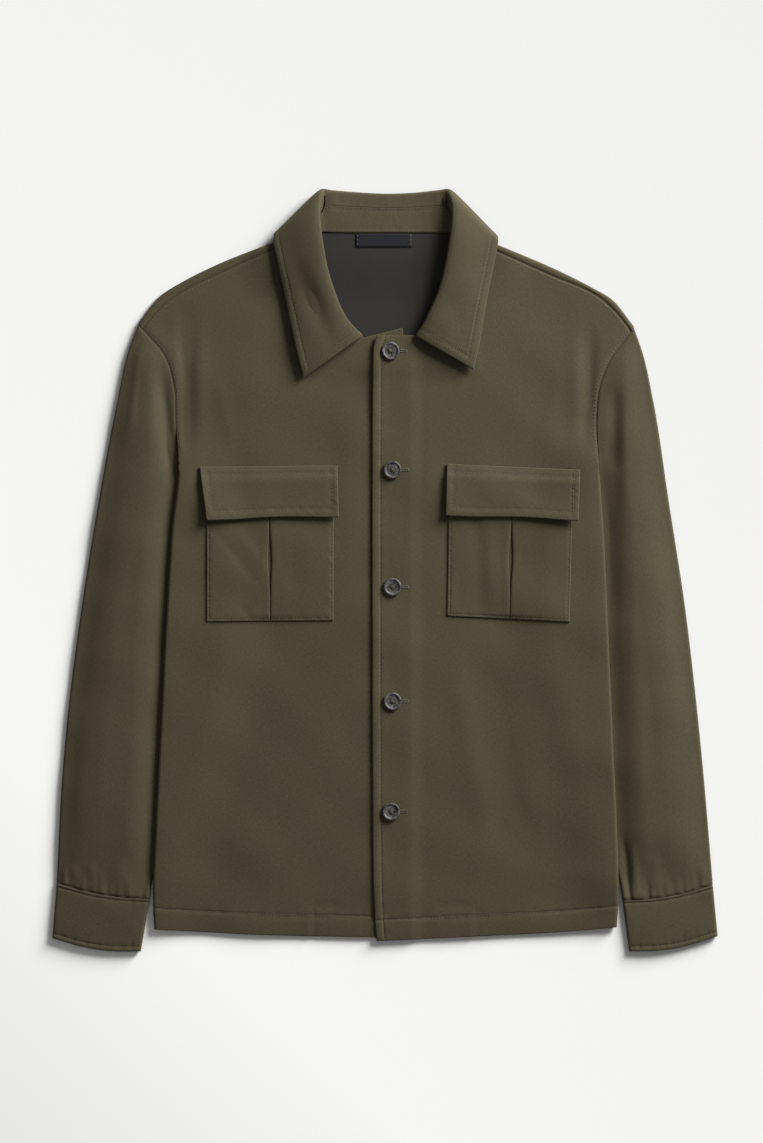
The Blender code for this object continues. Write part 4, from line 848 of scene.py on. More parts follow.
class Sewing:
    """Rows of stitches, each a small rounded piece of thread that dips into the cloth."""

    def __init__(self, seed):
        self.points = []
        self.faces = []
        self.turns = np.random.default_rng(seed)

    def stitch(self, middle, way, up, length, width, lift):
        side = np.cross(up, way)
        first = len(self.points)
        for along_it, wide in STITCH_PROFILE:
            base = middle + way * (along_it * length / 2)
            for angle in STITCH_ANGLES:
                out = side * math.cos(angle) * width / 2 * wide
                high = up * (math.sin(angle) * width * 0.42 * wide + lift * (1 - along_it ** 4) - 0.12)
                self.points.append(base + out + high)
        ring = len(STITCH_ANGLES)
        rings = len(STITCH_PROFILE)
        for j in range(rings - 1):
            for i in range(ring):
                k = (i + 1) % ring
                self.faces.append((first + j * ring + i, first + j * ring + k,
                                   first + (j + 1) * ring + k, first + (j + 1) * ring + i))
        self.faces.append(tuple(first + i for i in reversed(range(ring))))
        self.faces.append(tuple(first + (rings - 1) * ring + i for i in range(ring)))

    def line(self, line, normals, gap=None):
        length = sizes().stitch / MM
        pitch = length + (sizes().stitch_gap / MM if gap is None else gap)
        width = sizes().thread / MM
        for middle, way, up in zip(*resample(line, normals, pitch)):
            lean = self.turns.normal(0.0, 0.05)
            turned = unit(way + np.cross(up, way) * lean)
            self.stitch(middle, turned, up, length * self.turns.uniform(0.94, 1.05), width, 0.2)

    def seam(self, grid, normals, distance, level, rows, turned=False, mirrored=False):
        """Stitches where a distance has a level: turned swaps rows and columns, and mirrored
        looks for the level from the other side."""
        parts = (grid, normals, distance)
        if turned:
            parts = [part.swapaxes(0, 1) for part in parts]
        if mirrored:
            parts = [part[:, ::-1] for part in parts]
        self.line(*inset_line(*parts, level, rows))

    def bars(self, line, normals, across, pitch, width):
        """Close stitches that lie square to a line, as in a buttonhole or a bar."""
        for middle, way, up in zip(*resample(line, normals, pitch)):
            turned = unit(np.cross(up, way) + way * self.turns.normal(0.0, 0.05))
            self.stitch(middle, turned, up, across * self.turns.uniform(0.94, 1.06), width, 0.28)

    def build(self, name, look):
        data = bpy.data.meshes.new(name)
        data.from_pydata([[v * MM for v in p] for p in self.points], [], self.faces)
        piece = finish(data, name, look)
        return piece


def grid_line(grid, normals, rows, columns):
    """Points and normals of a line through a grid, at fractional rows and columns."""
    rows = np.clip(np.asarray(rows, float), 0.0, grid.shape[0] - 1.0)
    columns = np.clip(np.asarray(columns, float), 0.0, grid.shape[1] - 1.0)
    j = np.minimum(rows.astype(int), grid.shape[0] - 2)
    i = np.minimum(columns.astype(int), grid.shape[1] - 2)
    a = (rows - j)[:, None]
    b = (columns - i)[:, None]
    both = []
    for values in (grid, normals):
        low = values[j, i] * (1 - b) + values[j, i + 1] * b
        high = values[j + 1, i] * (1 - b) + values[j + 1, i + 1] * b
        both.append(low * (1 - a) + high * a)
    return both[0], unit(both[1])


def upward_normals(grid):
    """Grid normals, turned to the upper side."""
    normals = grid_normals(grid)
    return normals * np.where(normals[..., 2:] < 0, -1.0, 1.0)


def inset_line(grid, normals, distance, level, rows):
    """The line where a distance, given at each grid point, has the wanted level, one point a row."""
    found = []
    for j in rows:
        values = distance[j]
        cross = np.flatnonzero((values[:-1] - level) * (values[1:] - level) <= 0)
        if len(cross):
            i = cross[0]
            step = values[i + 1] - values[i]
            found.append((j, i + (level - values[i]) / step if abs(step) > 1e-9 else i))
    places = np.array(found, float)
    return grid_line(grid, normals, *places.T)


# ==== Fronts and back

def side_edge(side, shares, end):
    """The body's edge at shares of its height, closed off at its shoulder end."""
    points = np.vstack([edge_points(side)[:-1], end])
    height = (points[:, 1] - points[0, 1]) / (points[-1, 1] - points[0, 1])
    return spline(height, points, shares)


def coons(low, top, inner, outer, across, upward):
    """Plan grid between four edges."""
    u = across[None, :, None]
    v = upward[:, None, None]
    sides = (1 - u) * inner[:, None] + u * outer[:, None]
    ends = (1 - v) * low[None] + v * top[None]
    corners = (1 - u) * ((1 - v) * inner[0] + v * inner[-1]) + u * ((1 - v) * outer[0] + v * outer[-1])
    return sides + ends - corners


def seam_middle(bend):
    """Height of the side seam, half way between the two layers."""
    side = "right" if bend[0, 0] < 0 else "left"
    low = back_low(*bend.T)
    return 0.5 * (low + front_top(side, *bend.T))


def folded_edge(edge, normal, turn, face, middle, up, relief):
    """Outer and inner points of the columns that roll a panel over at its folded edge."""
    reach = EDGE_ROUND * turn
    bend = edge + normal * reach[:, None]
    rise = np.abs(face(*bend.T) + relief - middle)
    outer = []
    inner = []
    for angle in FOLD_ANGLES:
        out = edge + normal * (reach * (1 - math.sin(angle)))[:, None]
        into = edge + normal * (reach - turn * (EDGE_ROUND - CLOTH) * math.sin(angle))[:, None]
        level = face(*out.T)
        flat = level + relief
        back_face = level + up * (np.maximum(up * relief, 0.0) - CLOTH)
        rolled = middle + up * rise * math.cos(angle)
        rolled_in = middle + up * (rise - CLOTH) * math.cos(angle)
        outer.append(stack(out, flat + (rolled - flat) * turn))
        inner.append(stack(into, back_face + (rolled_in - back_face) * turn))
    return np.stack(outer, axis=1), np.stack(inner, axis=1)


def body_rows():
    """Row shares of a body panel, close together at the hem and at the top."""
    low = steps_from(0.0, HEM_STEPS, BODY_HEIGHT * 0.985, ROW_SPACING) / BODY_HEIGHT
    return np.concatenate([low, TOP_ROWS])


def top_path(side, shares):
    """Top edge of a front: its open part, the neckline and the shoulder seam."""
    parts = ((TOP_EDGE, 0.0, TOP_CUTS[0]), (NECKLINE, TOP_CUTS[0], TOP_CUTS[1]),
             (SHOULDER_SEAM, TOP_CUTS[1], 1.0))
    found = np.zeros((len(shares), 2))
    for table, start, end in parts:
        here = (shares >= start) & (shares <= end)
        found[here] = along(table[side], (shares[here] - start) / (end - start))
    found[shares > TOP_CUTS[1], 1] -= SEAM_GAP
    return found


def front_shape(side):
    """A front's plan grid, its side edge with inward directions, how far that edge turns over, and the line
    where it bends.
    """
    sign = SIGN[side]
    upward = body_rows()
    edge = side_edge(side, upward, np.array(SHOULDER_SEAM[side][-1]))
    normal = inward(edge, -sign)
    turn = fade(edge[:, 1], UNDERARM_Y - 14.0, UNDERARM_Y)
    edge = edge + normal * (1 - turn)[:, None] * SEAM_GAP / 2
    bend = edge + normal * (EDGE_ROUND * turn)[:, None]
    across = steps_from(0.0, PLACKET_STEPS, FRONT_WIDTH, COLUMN_SPACING) / FRONT_WIDTH
    across = np.unique(np.concatenate([across, TOP_CUTS]))
    top = top_path(side, across)
    low = along(HEM[side], across)
    top[-1] = bend[-1]
    low[-1] = bend[0]
    if side == "right":
        free = np.stack([np.full(len(upward), UNDERLAP_X),
                         low[0, 1] + upward * (top[0, 1] - low[0, 1])], axis=-1)
    else:
        heights = OVERLAP_EDGE[0].y + upward * (OVERLAP_EDGE[-1].y - OVERLAP_EDGE[0].y)
        free_x = spline(*zip(*OVERLAP_EDGE), heights)
        free = np.stack([free_x, heights], axis=-1)
    free[0] = low[0]
    free[-1] = top[0]
    straight = free[0] + (free[-1] - free[0]) * upward[:, None]
    plan = coons(low, top, straight, bend, across, upward)
    shift = (free - straight)[:, None] * fade(across * FRONT_WIDTH, 9.0, 40.0)[None, :, None]
    plan = plan + shift
    return plan, edge, normal, turn, bend


def front_seams(side, plan):
    """Distances of a front's points from its free edge, hem, top edge and armhole."""
    free, place = path_distance(plan, plan[:, 0])
    hem, hem_place = path_distance(plan, plan[0])
    top = path_distance(plan, plan[-1])[0]
    arm = path_distance(plan, armhole_path(side))[0]
    return free, place, hem, hem_place, top, arm


def make_front(side):
    plan, edge, normal, turn, bend = front_shape(side)
    x, y = plan[..., 0], plan[..., 1]
    free, place, hem, hem_place, top, arm = front_seams(side, plan)
    relief = sewn(hem, HEM_DEPTH, hem_place, 11, 0.45)
    relief += seam_ditch(top) * (np.abs(x) > 60.0)
    relief += seam_ditch(arm) * ease((y - 100.0) / 20.0)
    if side == "left":
        relief += sewn(free, PLACKET_STITCH, place, 12, 0.5) * fade(-hem, -3.0, 0.0)
        stand = PLACKET_RISE * np.exp(-(free / 10.0) ** 2)
        relief += stand * (1.0 + ease((y - 120.0) / 60.0)) * ease(hem / 30.0)
    past = x - FACING_END[side]
    relief += -FACING_STEP * np.exp(-(past / 2.2) ** 2) * fade(hem, 20.0, 34.0)
    relief += 0.8 * FACING_STEP * np.exp(-((past + 5.0) / 3.5) ** 2) * fade(hem, 16.0, 34.0)
    fall = np.maximum(edge_fall(free), edge_fall(hem))
    fall = np.maximum(fall, edge_fall(top) * (np.abs(x) < 60.0))
    z = front_top(side, x, y) + relief
    outer = stack(plan, z - 0.55 * fall)
    inner = stack(plan, z - CLOTH + 0.45 * fall - np.minimum(relief, 0.0))
    wear = np.maximum(fade(free, 0.3, 1.8), fade(hem, 0.3, 1.8))

    def face(x_at, y_at):
        return front_top(side, x_at, y_at)

    middle = seam_middle(bend) + SEAM_GAP / 2
    rolled, rolled_in = folded_edge(edge, normal, turn, face, middle, 1.0, relief[:, -1])
    rolled[:, 0] = outer[:, -1]
    rolled_in[:, 0] = inner[:, -1]
    piece = cover("front_" + side, cloth_finish("front"), (outer, inner, wear),
                  (rolled, rolled_in, None, fold_flat(outer, rolled)))
    normals = upward_normals(outer)
    sewing = Sewing(31)
    inside = np.flatnonzero((plan[:, 0, 1] > plan[0, 0, 1] + HEM_DEPTH + 1.0)
                            & (plan[:, 0, 1] < plan[-1, 0, 1] - 2.0))
    if side == "left":
        sewing.seam(outer, normals, free, PLACKET_STITCH, inside)
    else:
        tab = np.flatnonzero(plan[:, 0, 1] > 200.0)[:-1]
        sewing.seam(outer, normals, free, TAB_STITCH, tab)
    sewing.seam(outer, normals, hem, HEM_DEPTH, range(2, plan.shape[1]), turned=True)
    arm_rows = [j for j in range(len(plan)) if plan[j, -1, 1] > 118.0]
    sewing.seam(outer, normals, arm, ARMHOLE_STITCH, arm_rows[:-2], mirrored=True)
    top_columns = [i for i in range(plan.shape[1]) if abs(plan[-1, i, 0]) > 76.0]
    sewing.seam(outer, normals, top, SHOULDER_STITCH, top_columns[:-2], turned=True, mirrored=True)
    thread = sewing.build("shirt_front_%s_topstitch" % side, thread_finish())
    return piece


def fold_flat(outer, rolled):
    """Flat coordinates that carry on from a panel's last column round its fold."""
    steps = np.linalg.norm(np.diff(rolled, axis=1), axis=2)
    reach = np.concatenate([np.zeros((len(rolled), 1)), np.cumsum(steps, axis=1)], axis=1)
    way = np.sign(outer[:, -1, 0] - outer[:, -2, 0])[:, None]
    x = outer[:, -1:, 0] + way * reach
    y = outer[:, -1:, 1] * np.ones_like(reach)
    return np.stack([x, y], axis=-1) * MM


def make_back():
    """The back, with a strip on each shoulder that turns over to the forward seam."""
    upward = body_rows()
    fold_shares = np.linspace(0.0, 1.0, SHOULDER_COLUMNS)
    neck_shares = np.linspace(0.0, 1.0, 31)
    across = np.concatenate([0.31 * fold_shares, 0.34 + 0.32 * neck_shares, 0.69 + 0.31 * fold_shares])
    edges = {}
    for side in ("right", "left"):
        edge = side_edge(side, upward, np.array(SHOULDER_FOLD[side][-1]))
        normal = inward(edge, -SIGN[side])
        turn = fade(edge[:, 1], UNDERARM_Y - 14.0, UNDERARM_Y)
        edge = edge + normal * (1 - turn)[:, None] * SEAM_GAP / 2
        edge[:, 1] += BACK_HEM_RISE * fade(upward, 0.0, 0.1)
        edges[side] = (edge, normal, turn)
    folds_plan = {side: along(SHOULDER_FOLD[side], 1 - fold_shares) for side in edges}
    top = {}
    turned = {}
    for side, path in folds_plan.items():
        towards = -SIGN[side]
        normal = inward(path[::-1], -towards)[::-1]
        turned[side] = normal
        top[side] = path + normal * EDGE_ROUND
        top[side][0] = edges[side][0][-1] + normal[0] * EDGE_ROUND
    top_row = np.concatenate([top["right"], along(BACK_NECK, neck_shares), top["left"][::-1]])
    bends = {side: edge + normal * (EDGE_ROUND * turn)[:, None]
             for side, (edge, normal, turn) in edges.items()}
    for side in bends:
        bends[side][-1] = top[side][0]
    hem = {side: along(HEM[side], np.linspace(0, 1, 40)) for side in HEM}
    hem_path = np.concatenate([hem["right"][::-1], hem["left"]])
    hem_path = hem_path[np.argsort(hem_path[:, 0])]
    low_x = bends["right"][0, 0] + across * (bends["left"][0, 0] - bends["right"][0, 0])
    low_y = np.interp(low_x, *hem_path.T) + BACK_HEM_RISE
    low = np.stack([low_x, low_y], axis=-1)
    low[0] = bends["right"][0]
    low[-1] = bends["left"][0]
    plan = coons(low, top_row, bends["right"], bends["left"], across, upward)
    hem_far, hem_place = path_distance(plan, plan[0])
    hollow = 0.28 * np.exp(-((hem_far - HEM_DEPTH) / 0.8) ** 2)
    hollow += 0.22 * np.exp(-((hem_far - HEM_DEPTH) / 6.0) ** 2) * (1 + puckers(hem_place, 5)) / 2
    z = back_low(plan[..., 0], plan[..., 1])
    fall = edge_fall(hem_far)
    outer = stack(plan, z + hollow + 0.5 * fall)
    inner = stack(plan, z + CLOTH - 0.3 * fall)
    grids = [(outer, inner, fade(hem_far, 0.3, 1.8))]
    for side, (edge, normal, turn) in edges.items():
        middle = seam_middle(bends[side]) - SEAM_GAP / 2
        relief = hollow[:, 0 if side == "right" else -1]
        rolled, rolled_in = folded_edge(edge, normal, turn, back_low, middle, -1.0, relief)
        last = 0 if side == "right" else -1
        rolled[:, 0] = outer[:, last]
        rolled_in[:, 0] = inner[:, last]
        flipped = outer if side == "left" else outer[:, ::-1]
        flat = fold_flat(flipped, rolled)
        grids.append((rolled[:-1], rolled_in[:-1], None, flat[:-1]))
        strip, strip_in, strip_flat = shoulder_turn(side, folds_plan[side], turned[side], top[side])
        strip[0] = outer[-1, :SHOULDER_COLUMNS] if side == "right" else outer[-1, ::-1][:SHOULDER_COLUMNS]
        strip_in[0] = inner[-1, :SHOULDER_COLUMNS] if side == "right" else inner[-1, ::-1][:SHOULDER_COLUMNS]
        grids.append((strip, strip_in, None, strip_flat))
    piece = cover("back", cloth_finish("back"), *grids)
    normals = -upward_normals(outer)
    sewing = Sewing(32)
    sewing.seam(outer, normals, hem_far, HEM_DEPTH, range(1, plan.shape[1] - 1), turned=True)
    thread = sewing.build("shirt_back_topstitch", thread_finish())
    return piece


def shoulder_turn(side, path, normal, start):
    """Strip that rolls over the shoulder fold and runs in to the forward seam."""
    low = back_low(*start.T)
    high = front_top(side, *start.T)
    middle = 0.5 * (low + high)
    rise = 0.5 * (high - low)
    shift = start - (path + normal * EDGE_ROUND)
    outer = []
    inner = []
    for angle in np.radians(np.linspace(-90.0, 90.0, 13)):
        out = path + shift + normal * EDGE_ROUND * (1 - math.cos(angle))
        into = path + shift + normal * (EDGE_ROUND - (EDGE_ROUND - CLOTH) * math.cos(angle))
        outer.append(stack(out, middle + rise * math.sin(angle)))
        inner.append(stack(into, middle + (rise - CLOTH) * math.sin(angle)))
    seam = along(SHOULDER_SEAM[side], np.linspace(1.0, 0.0, len(path)))
    width = np.linalg.norm(seam - start, axis=1)
    for share in STRIP_SHARES:
        flat = start + (seam - start) * share
        z = front_top(side, *flat.T) + seam_ditch(width * (1 - share))
        outer.append(stack(flat, z))
        inner.append(stack(flat, z - CLOTH))
    outer = np.stack(outer)
    return outer, np.stack(inner), cloth_lengths(outer)


# ==== Sleeves and cuffs

def armhole_path(side):
    """The armhole seam from the shoulder fold to the underarm, in the middle of its gap."""
    shares = np.linspace(1.0, UNDERARM_SHARE, 70)
    rows = side_edge(side, shares, np.array(SHOULDER_SEAM[side][-1]))
    return np.vstack([np.array(SHOULDER_FOLD[side][-1]), rows])


def armhole(side, shares):
    """The same seam, on the sleeve's side of the gap, at shares of its length."""
    path = armhole_path(side)
    out = -inward(path, SIGN[side])
    moved = path + out * SLEEVE_GAP
    reach = reach_along(moved)
    return np.stack([np.interp(shares, reach / reach[-1], moved[:, k]) for k in (0, 1)], axis=-1)


def sleeve_inner(side, shares):
    """Inner fold of a sleeve, from the underarm to the cuff."""
    start = edge_points(side)[UNDERARM_ROW][1] - 1.0
    end = CUFFS[side].top_in[1] + SEAM_GAP
    y = start + shares * (end - start)
    width = half_width(np.full_like(y, SIGN[side]), y) - sleeve_tuck(y)
    path = np.stack([SIGN[side] * width, y], axis=-1)
    closing = ease((shares - 0.96) / 0.04)[:, None]
    last = np.array([CUFFS[side].top_in[0], CUFFS[side].top_in[1] + SEAM_GAP])
    return path + (last - path[-1]) * closing


def turn_rows(bend, direction, height, reach, wall, order):
    """Points round a fold: from underneath to the top when order is 1, else the other way."""
    angles = np.radians(np.linspace(-90.0, 90.0, 11)) * order
    middle = height / 2
    outer = bend + np.cos(angles)[:, None] * direction * reach
    inner = bend + np.cos(angles)[:, None] * direction * (reach - wall)
    return (stack(outer, middle + middle * np.sin(angles)),
            stack(inner, middle + (middle - wall) * np.sin(angles)))


def tube_rings(outer_fold, inner_fold, bows, top, wall, upper_shares, lower_shares, relief=None):
    """Rings of a flattened tube: over the upper layer, round the inner fold and back below."""
    rings_out = []
    rings_in = []
    for k, (out_point, in_point, bow) in enumerate(zip(outer_fold, inner_fold, bows)):
        across = unit(in_point - out_point)

        def place(share):
            base = out_point + across * EDGE_ROUND
            end = in_point - across * EDGE_ROUND
            return base + (end - base) * share[:, None] + bow(share)

        upper = place(upper_shares)
        z_up = top(*upper.T) + (0.0 if relief is None else relief(k, upper_shares))
        lower = place(lower_shares)
        first_out, first_in = turn_rows(upper[0], -across, z_up[0], EDGE_ROUND, wall, 1.0)
        last_out, last_in = turn_rows(upper[-1], across, z_up[-1], EDGE_ROUND, wall, -1.0)
        half = len(first_out) // 2
        under = np.zeros(len(lower))
        low_out = stack(lower, under)[::-1][1:-1]
        low_in = stack(lower, under + wall)[::-1][1:-1]
        rings_out.append(np.concatenate([first_out[half:-1], stack(upper, z_up), last_out[1:], low_out,
                                         first_out[:half + 1]]))
        rings_in.append(np.concatenate([first_in[half:-1], stack(upper, z_up - wall), last_in[1:],
                                        low_in, first_in[:half + 1]]))
    return np.stack(rings_out), np.stack(rings_in)


def make_sleeve(side):
    fan = np.array(SLEEVE_FAN, float)
    places = np.concatenate([SLEEVE_START, np.linspace(0.016, 0.978, 150), SLEEVE_END])
    rows = spline(fan[:, 0], fan, places)
    outer_path = edge_points(side, SLEEVE_EDGE)
    outer_path[0] = SHOULDER_FOLD[side][-1]
    outer_path[-1] = (CUFFS[side].top_out[0], CUFFS[side].top_out[1] + SEAM_GAP)
    outer_fold = along(outer_path, rows[:, 0])
    inner_fold = sleeve_inner(side, rows[:, 1])
    first = armhole(side, np.array([0.0, 1.0]))
    start = fade(places, 0.0, 0.012)[:, None]
    outer_fold = outer_fold + (first[0] - outer_fold[0]) * start
    inner_fold = inner_fold + (first[1] - inner_fold[0]) * start
    chord = first[1] - first[0]
    inset = EDGE_ROUND / np.linalg.norm(chord)

    def make_bow(row):
        def bow(share):
            place = inset + share * (1 - 2 * inset)
            curve = armhole(side, place) - (first[0] + place[:, None] * chord)
            ends = np.sin(np.pi * share)[:, None] * np.array([0.0, -CUFF_TOP_SAG])
            return curve * row[2] + ends * float(ease((row[0] - 0.8) / 0.2))
        return bow

    def relief(k, share):
        from_hole = places[k] * SLEEVE_LENGTH * (1 - share) + rows[k, 1] * SLEEVE_LENGTH * 0.8 * share
        from_cuff = (1.0 - places[k]) * SLEEVE_LENGTH
        ditch = seam_ditch(from_hole) + seam_ditch(from_cuff)
        gather = 0.55 * puckers(share * 92.0, 21) * np.exp(-(from_cuff / 15.0) ** 2)
        return ditch + gather * ease(from_cuff / 1.5)

    bows = [make_bow(row) for row in rows]
    outer, inner = tube_rings(outer_fold, inner_fold, bows, sleeve_top, CLOTH,
                              np.linspace(0.0, 1.0, 64), np.linspace(0.0, 1.0, 26), relief)
    piece = cover("sleeve_" + side, cloth_finish("sleeve"), (outer, inner, None, cloth_lengths(outer)))
    return piece


def make_cuff(side):
    corners = CUFFS[side]
    steps = np.array(CUFF_STEPS)
    shares = steps / steps[-1]
    outer_fold = along([corners.top_out, corners.low_out], shares)
    inner_fold = along([corners.top_in, corners.low_in], shares)

    def make_bow(depth):
        def bow(share):
            return np.sin(np.pi * share)[:, None] * np.array([0.0, -depth])
        return bow

    def top(x, y):
        return 2 * CUFF_WALL + CUFF_LOFT + 0.35 * ripples(x * 1.4, y * 1.4) * sizes().ripple / MM * 2.0

    def relief(k, share):
        low = steps[-1] - steps[k]
        seam = np.full_like(share, steps[k])
        raised = 0.9 * np.sin(np.pi * share)
        raised = raised * np.sin(np.pi * np.clip(steps[k] / steps[-1], 0.02, 0.98)) ** 0.5
        sewing = sewn(np.full_like(share, low), CUFF_STITCH, share * 95.0, 41, 0.3)
        sewing += sewn(seam, CUFF_TOP_STITCH, share * 95.0, 42, 0.3)
        fall = 0.5 * edge_fall(np.array([low]), 1.0) + 0.5 * edge_fall(np.array([steps[k]]), 1.0)
        return raised + sewing - fall

    bows = [make_bow(CUFF_TOP_SAG + (CUFF_LOW_SAG - CUFF_TOP_SAG) * share) for share in shares]
    upper_shares = np.linspace(0.0, 1.0, 50)
    outer, inner = tube_rings(outer_fold, inner_fold, bows, top, CUFF_WALL, upper_shares,
                              np.linspace(0.0, 1.0, 24), relief)
    ends = np.maximum(edge_fall(steps, 0.9), edge_fall(steps[-1] - steps, 0.9))[:, None, None]
    middle = 0.5 * (outer + inner)
    outer_soft = outer + (middle - outer) * 0.55 * ends
    inner_soft = inner + (middle - inner) * 0.45 * ends
    wear = fade(steps[-1] - steps, 0.3, 1.8)[:, None] * np.ones(outer.shape[1])
    piece = cover("cuff_" + side, cloth_finish("cuff"),
                  (outer_soft, inner_soft, wear, cloth_lengths(outer)))
    first = 5
    columns = np.linspace(first + 1, first + 48, 60)
    normals = upward_normals(outer_soft)
    sewing = Sewing(33)
    for level in (steps[-1] - CUFF_STITCH, CUFF_TOP_STITCH):
        row = float(np.interp(level, steps, np.arange(len(steps))))
        sewing.line(*grid_line(outer_soft, normals, np.full(60, row), columns))
    thread = sewing.build("shirt_cuff_%s_topstitch" % side, thread_finish())
    return piece


# ==== Collar

def panel_top(plan):
    """Height of the cloth that the collar stands on."""
    x = plan[:, 0]
    y = plan[:, 1]
    fronts = np.where(x < UNDERLAP_X, front_top("right", x, y), front_top("left", x, y))
    bare = back_low(x, y) + CLOTH
    in_neck = fade(np.abs(x), 60.0, 72.0) * fade(-y, -334.0, -328.0)
    return fronts * (1 - in_neck) + bare * in_neck


def hermite(start, end, leave, arrive, t):
    """Points between start and end, which are (sections, 3), at (sections, columns) shares."""
    t = t[..., None]
    return ((1 + 2 * t) * (1 - t) ** 2 * start[:, None] + t * t * (3 - 2 * t) * end[:, None]
            + t * (1 - t) ** 2 * leave[:, None] + t * t * (t - 1) * arrive[:, None])


def collar_sections():
    """Places of the collar's sections in its table, close together at both front ends."""
    near = np.array(COLLAR_END_STEPS) / COLLAR_ROW_LENGTH
    return close_at_ends(near, len(COLLAR) - 1.0, COLLAR_MIDDLE)


class CollarShape:
    """Profiles from the neck seam (0) up to the roll (1), round it (2) and down to the edge (3)."""

    def __init__(self):
        rows = np.array(COLLAR, float)
        self.sections = collar_sections()
        fine = spline(np.arange(len(rows), dtype=float), rows, self.sections)
        self.below = np.clip(fine[:, 8] / 90.0, 0.0, 1.0)
        turn = np.radians(90.0 * self.below)
        under = np.clip(fine[:, 9], 0.0, 1.0)
        seat = panel_top(fine[:, 0:2]) + 2 * SEAM_GAP + COLLAR_WALL * np.sin(turn)
        self.neck = stack(fine[:, 0:2], seat)
        rest = (panel_top(fine[:, 5:7]) + SEAM_GAP + COLLAR_WALL + fine[:, 7]
                + LEAF_STAND * (1 - self.below))
        self.cut = stack(fine[:, 5:7], rest * (1 - under))
        outward = inward(fine[:, 2:4], -1.0)
        self.up = stack(outward * np.sin(turn)[:, None], np.cos(turn))
        self.over = stack(outward * np.cos(turn)[:, None], -np.sin(turn))
        self.low = fine[:, 2:5] - ROLL_ROUND * self.up
        self.high = fine[:, 2:5] + ROLL_ROUND * self.over
        self.length = np.linalg.norm(self.low - self.neck, axis=1)

    def points(self, place):
        """Points at (sections, columns) places between 0 and 3."""
        rise = self.low - self.neck
        fall = self.cut - self.high
        reach = self.up * self.length[:, None]
        first = hermite(self.neck, self.low, rise, reach, np.clip(place, 0.0, 1.0))
        angle = (np.clip(place, 1.0, 2.0) - 1.0)[..., None] * math.pi / 2
        arc = (self.low[:, None] + ROLL_ROUND * np.sin(angle) * self.up[:, None]
               + ROLL_ROUND * (1 - np.cos(angle)) * self.over[:, None])
        down = np.clip(place - 2.0, 0.0, 1.0)
        leave = self.over * (ROLL_REACH + (FOLD_REACH - ROLL_REACH) * self.below ** 2)[:, None]
        last = hermite(self.high, self.cut, leave, fall, down)
        last[..., 2] += LEAF_BULGE * np.sin(np.pi * down) * (1 - self.below)[:, None]
        mixed = np.where(place[..., None] <= 1.0, first, np.where(place[..., None] <= 2.0, arc, last))
        mixed[..., 2] = np.maximum(mixed[..., 2], 0.0)
        return mixed

    def faces(self, place):
        """The upper face of the collar between two places, and the way up from it."""
        step = 0.01
        grid = self.points(place)
        profile = self.points(np.minimum(place + step, 3.0)) - self.points(np.maximum(place - step, 0.0))
        return grid, unit(np.cross(np.gradient(grid, axis=0), profile))


def hollows(table, x, y):
    """Sum of round or oval rises and hollows."""
    total = np.zeros(np.broadcast(x, y).shape)
    for row in table:
        turned = math.radians(row.turn)
        across = (x - row.x) * math.cos(turned) + (y - row.y) * math.sin(turned)
        upward = (y - row.y) * math.cos(turned) - (x - row.x) * math.sin(turned)
        total = total + row.height * np.exp(-(across / row.wide) ** 2 - (upward / row.high) ** 2)
    return total


def soft_wall(grid, normals, thickness, relief, border):
    """Outer and inner points of a doubled piece whose free edges are rounded."""
    outer = grid + normals * relief[..., None]
    inner = grid - normals * thickness
    fall = edge_fall(border, thickness * 0.55)[..., None]
    middle = 0.5 * (outer + inner)
    return outer + (middle - outer) * 0.8 * fall, inner + (middle - inner) * 0.7 * fall


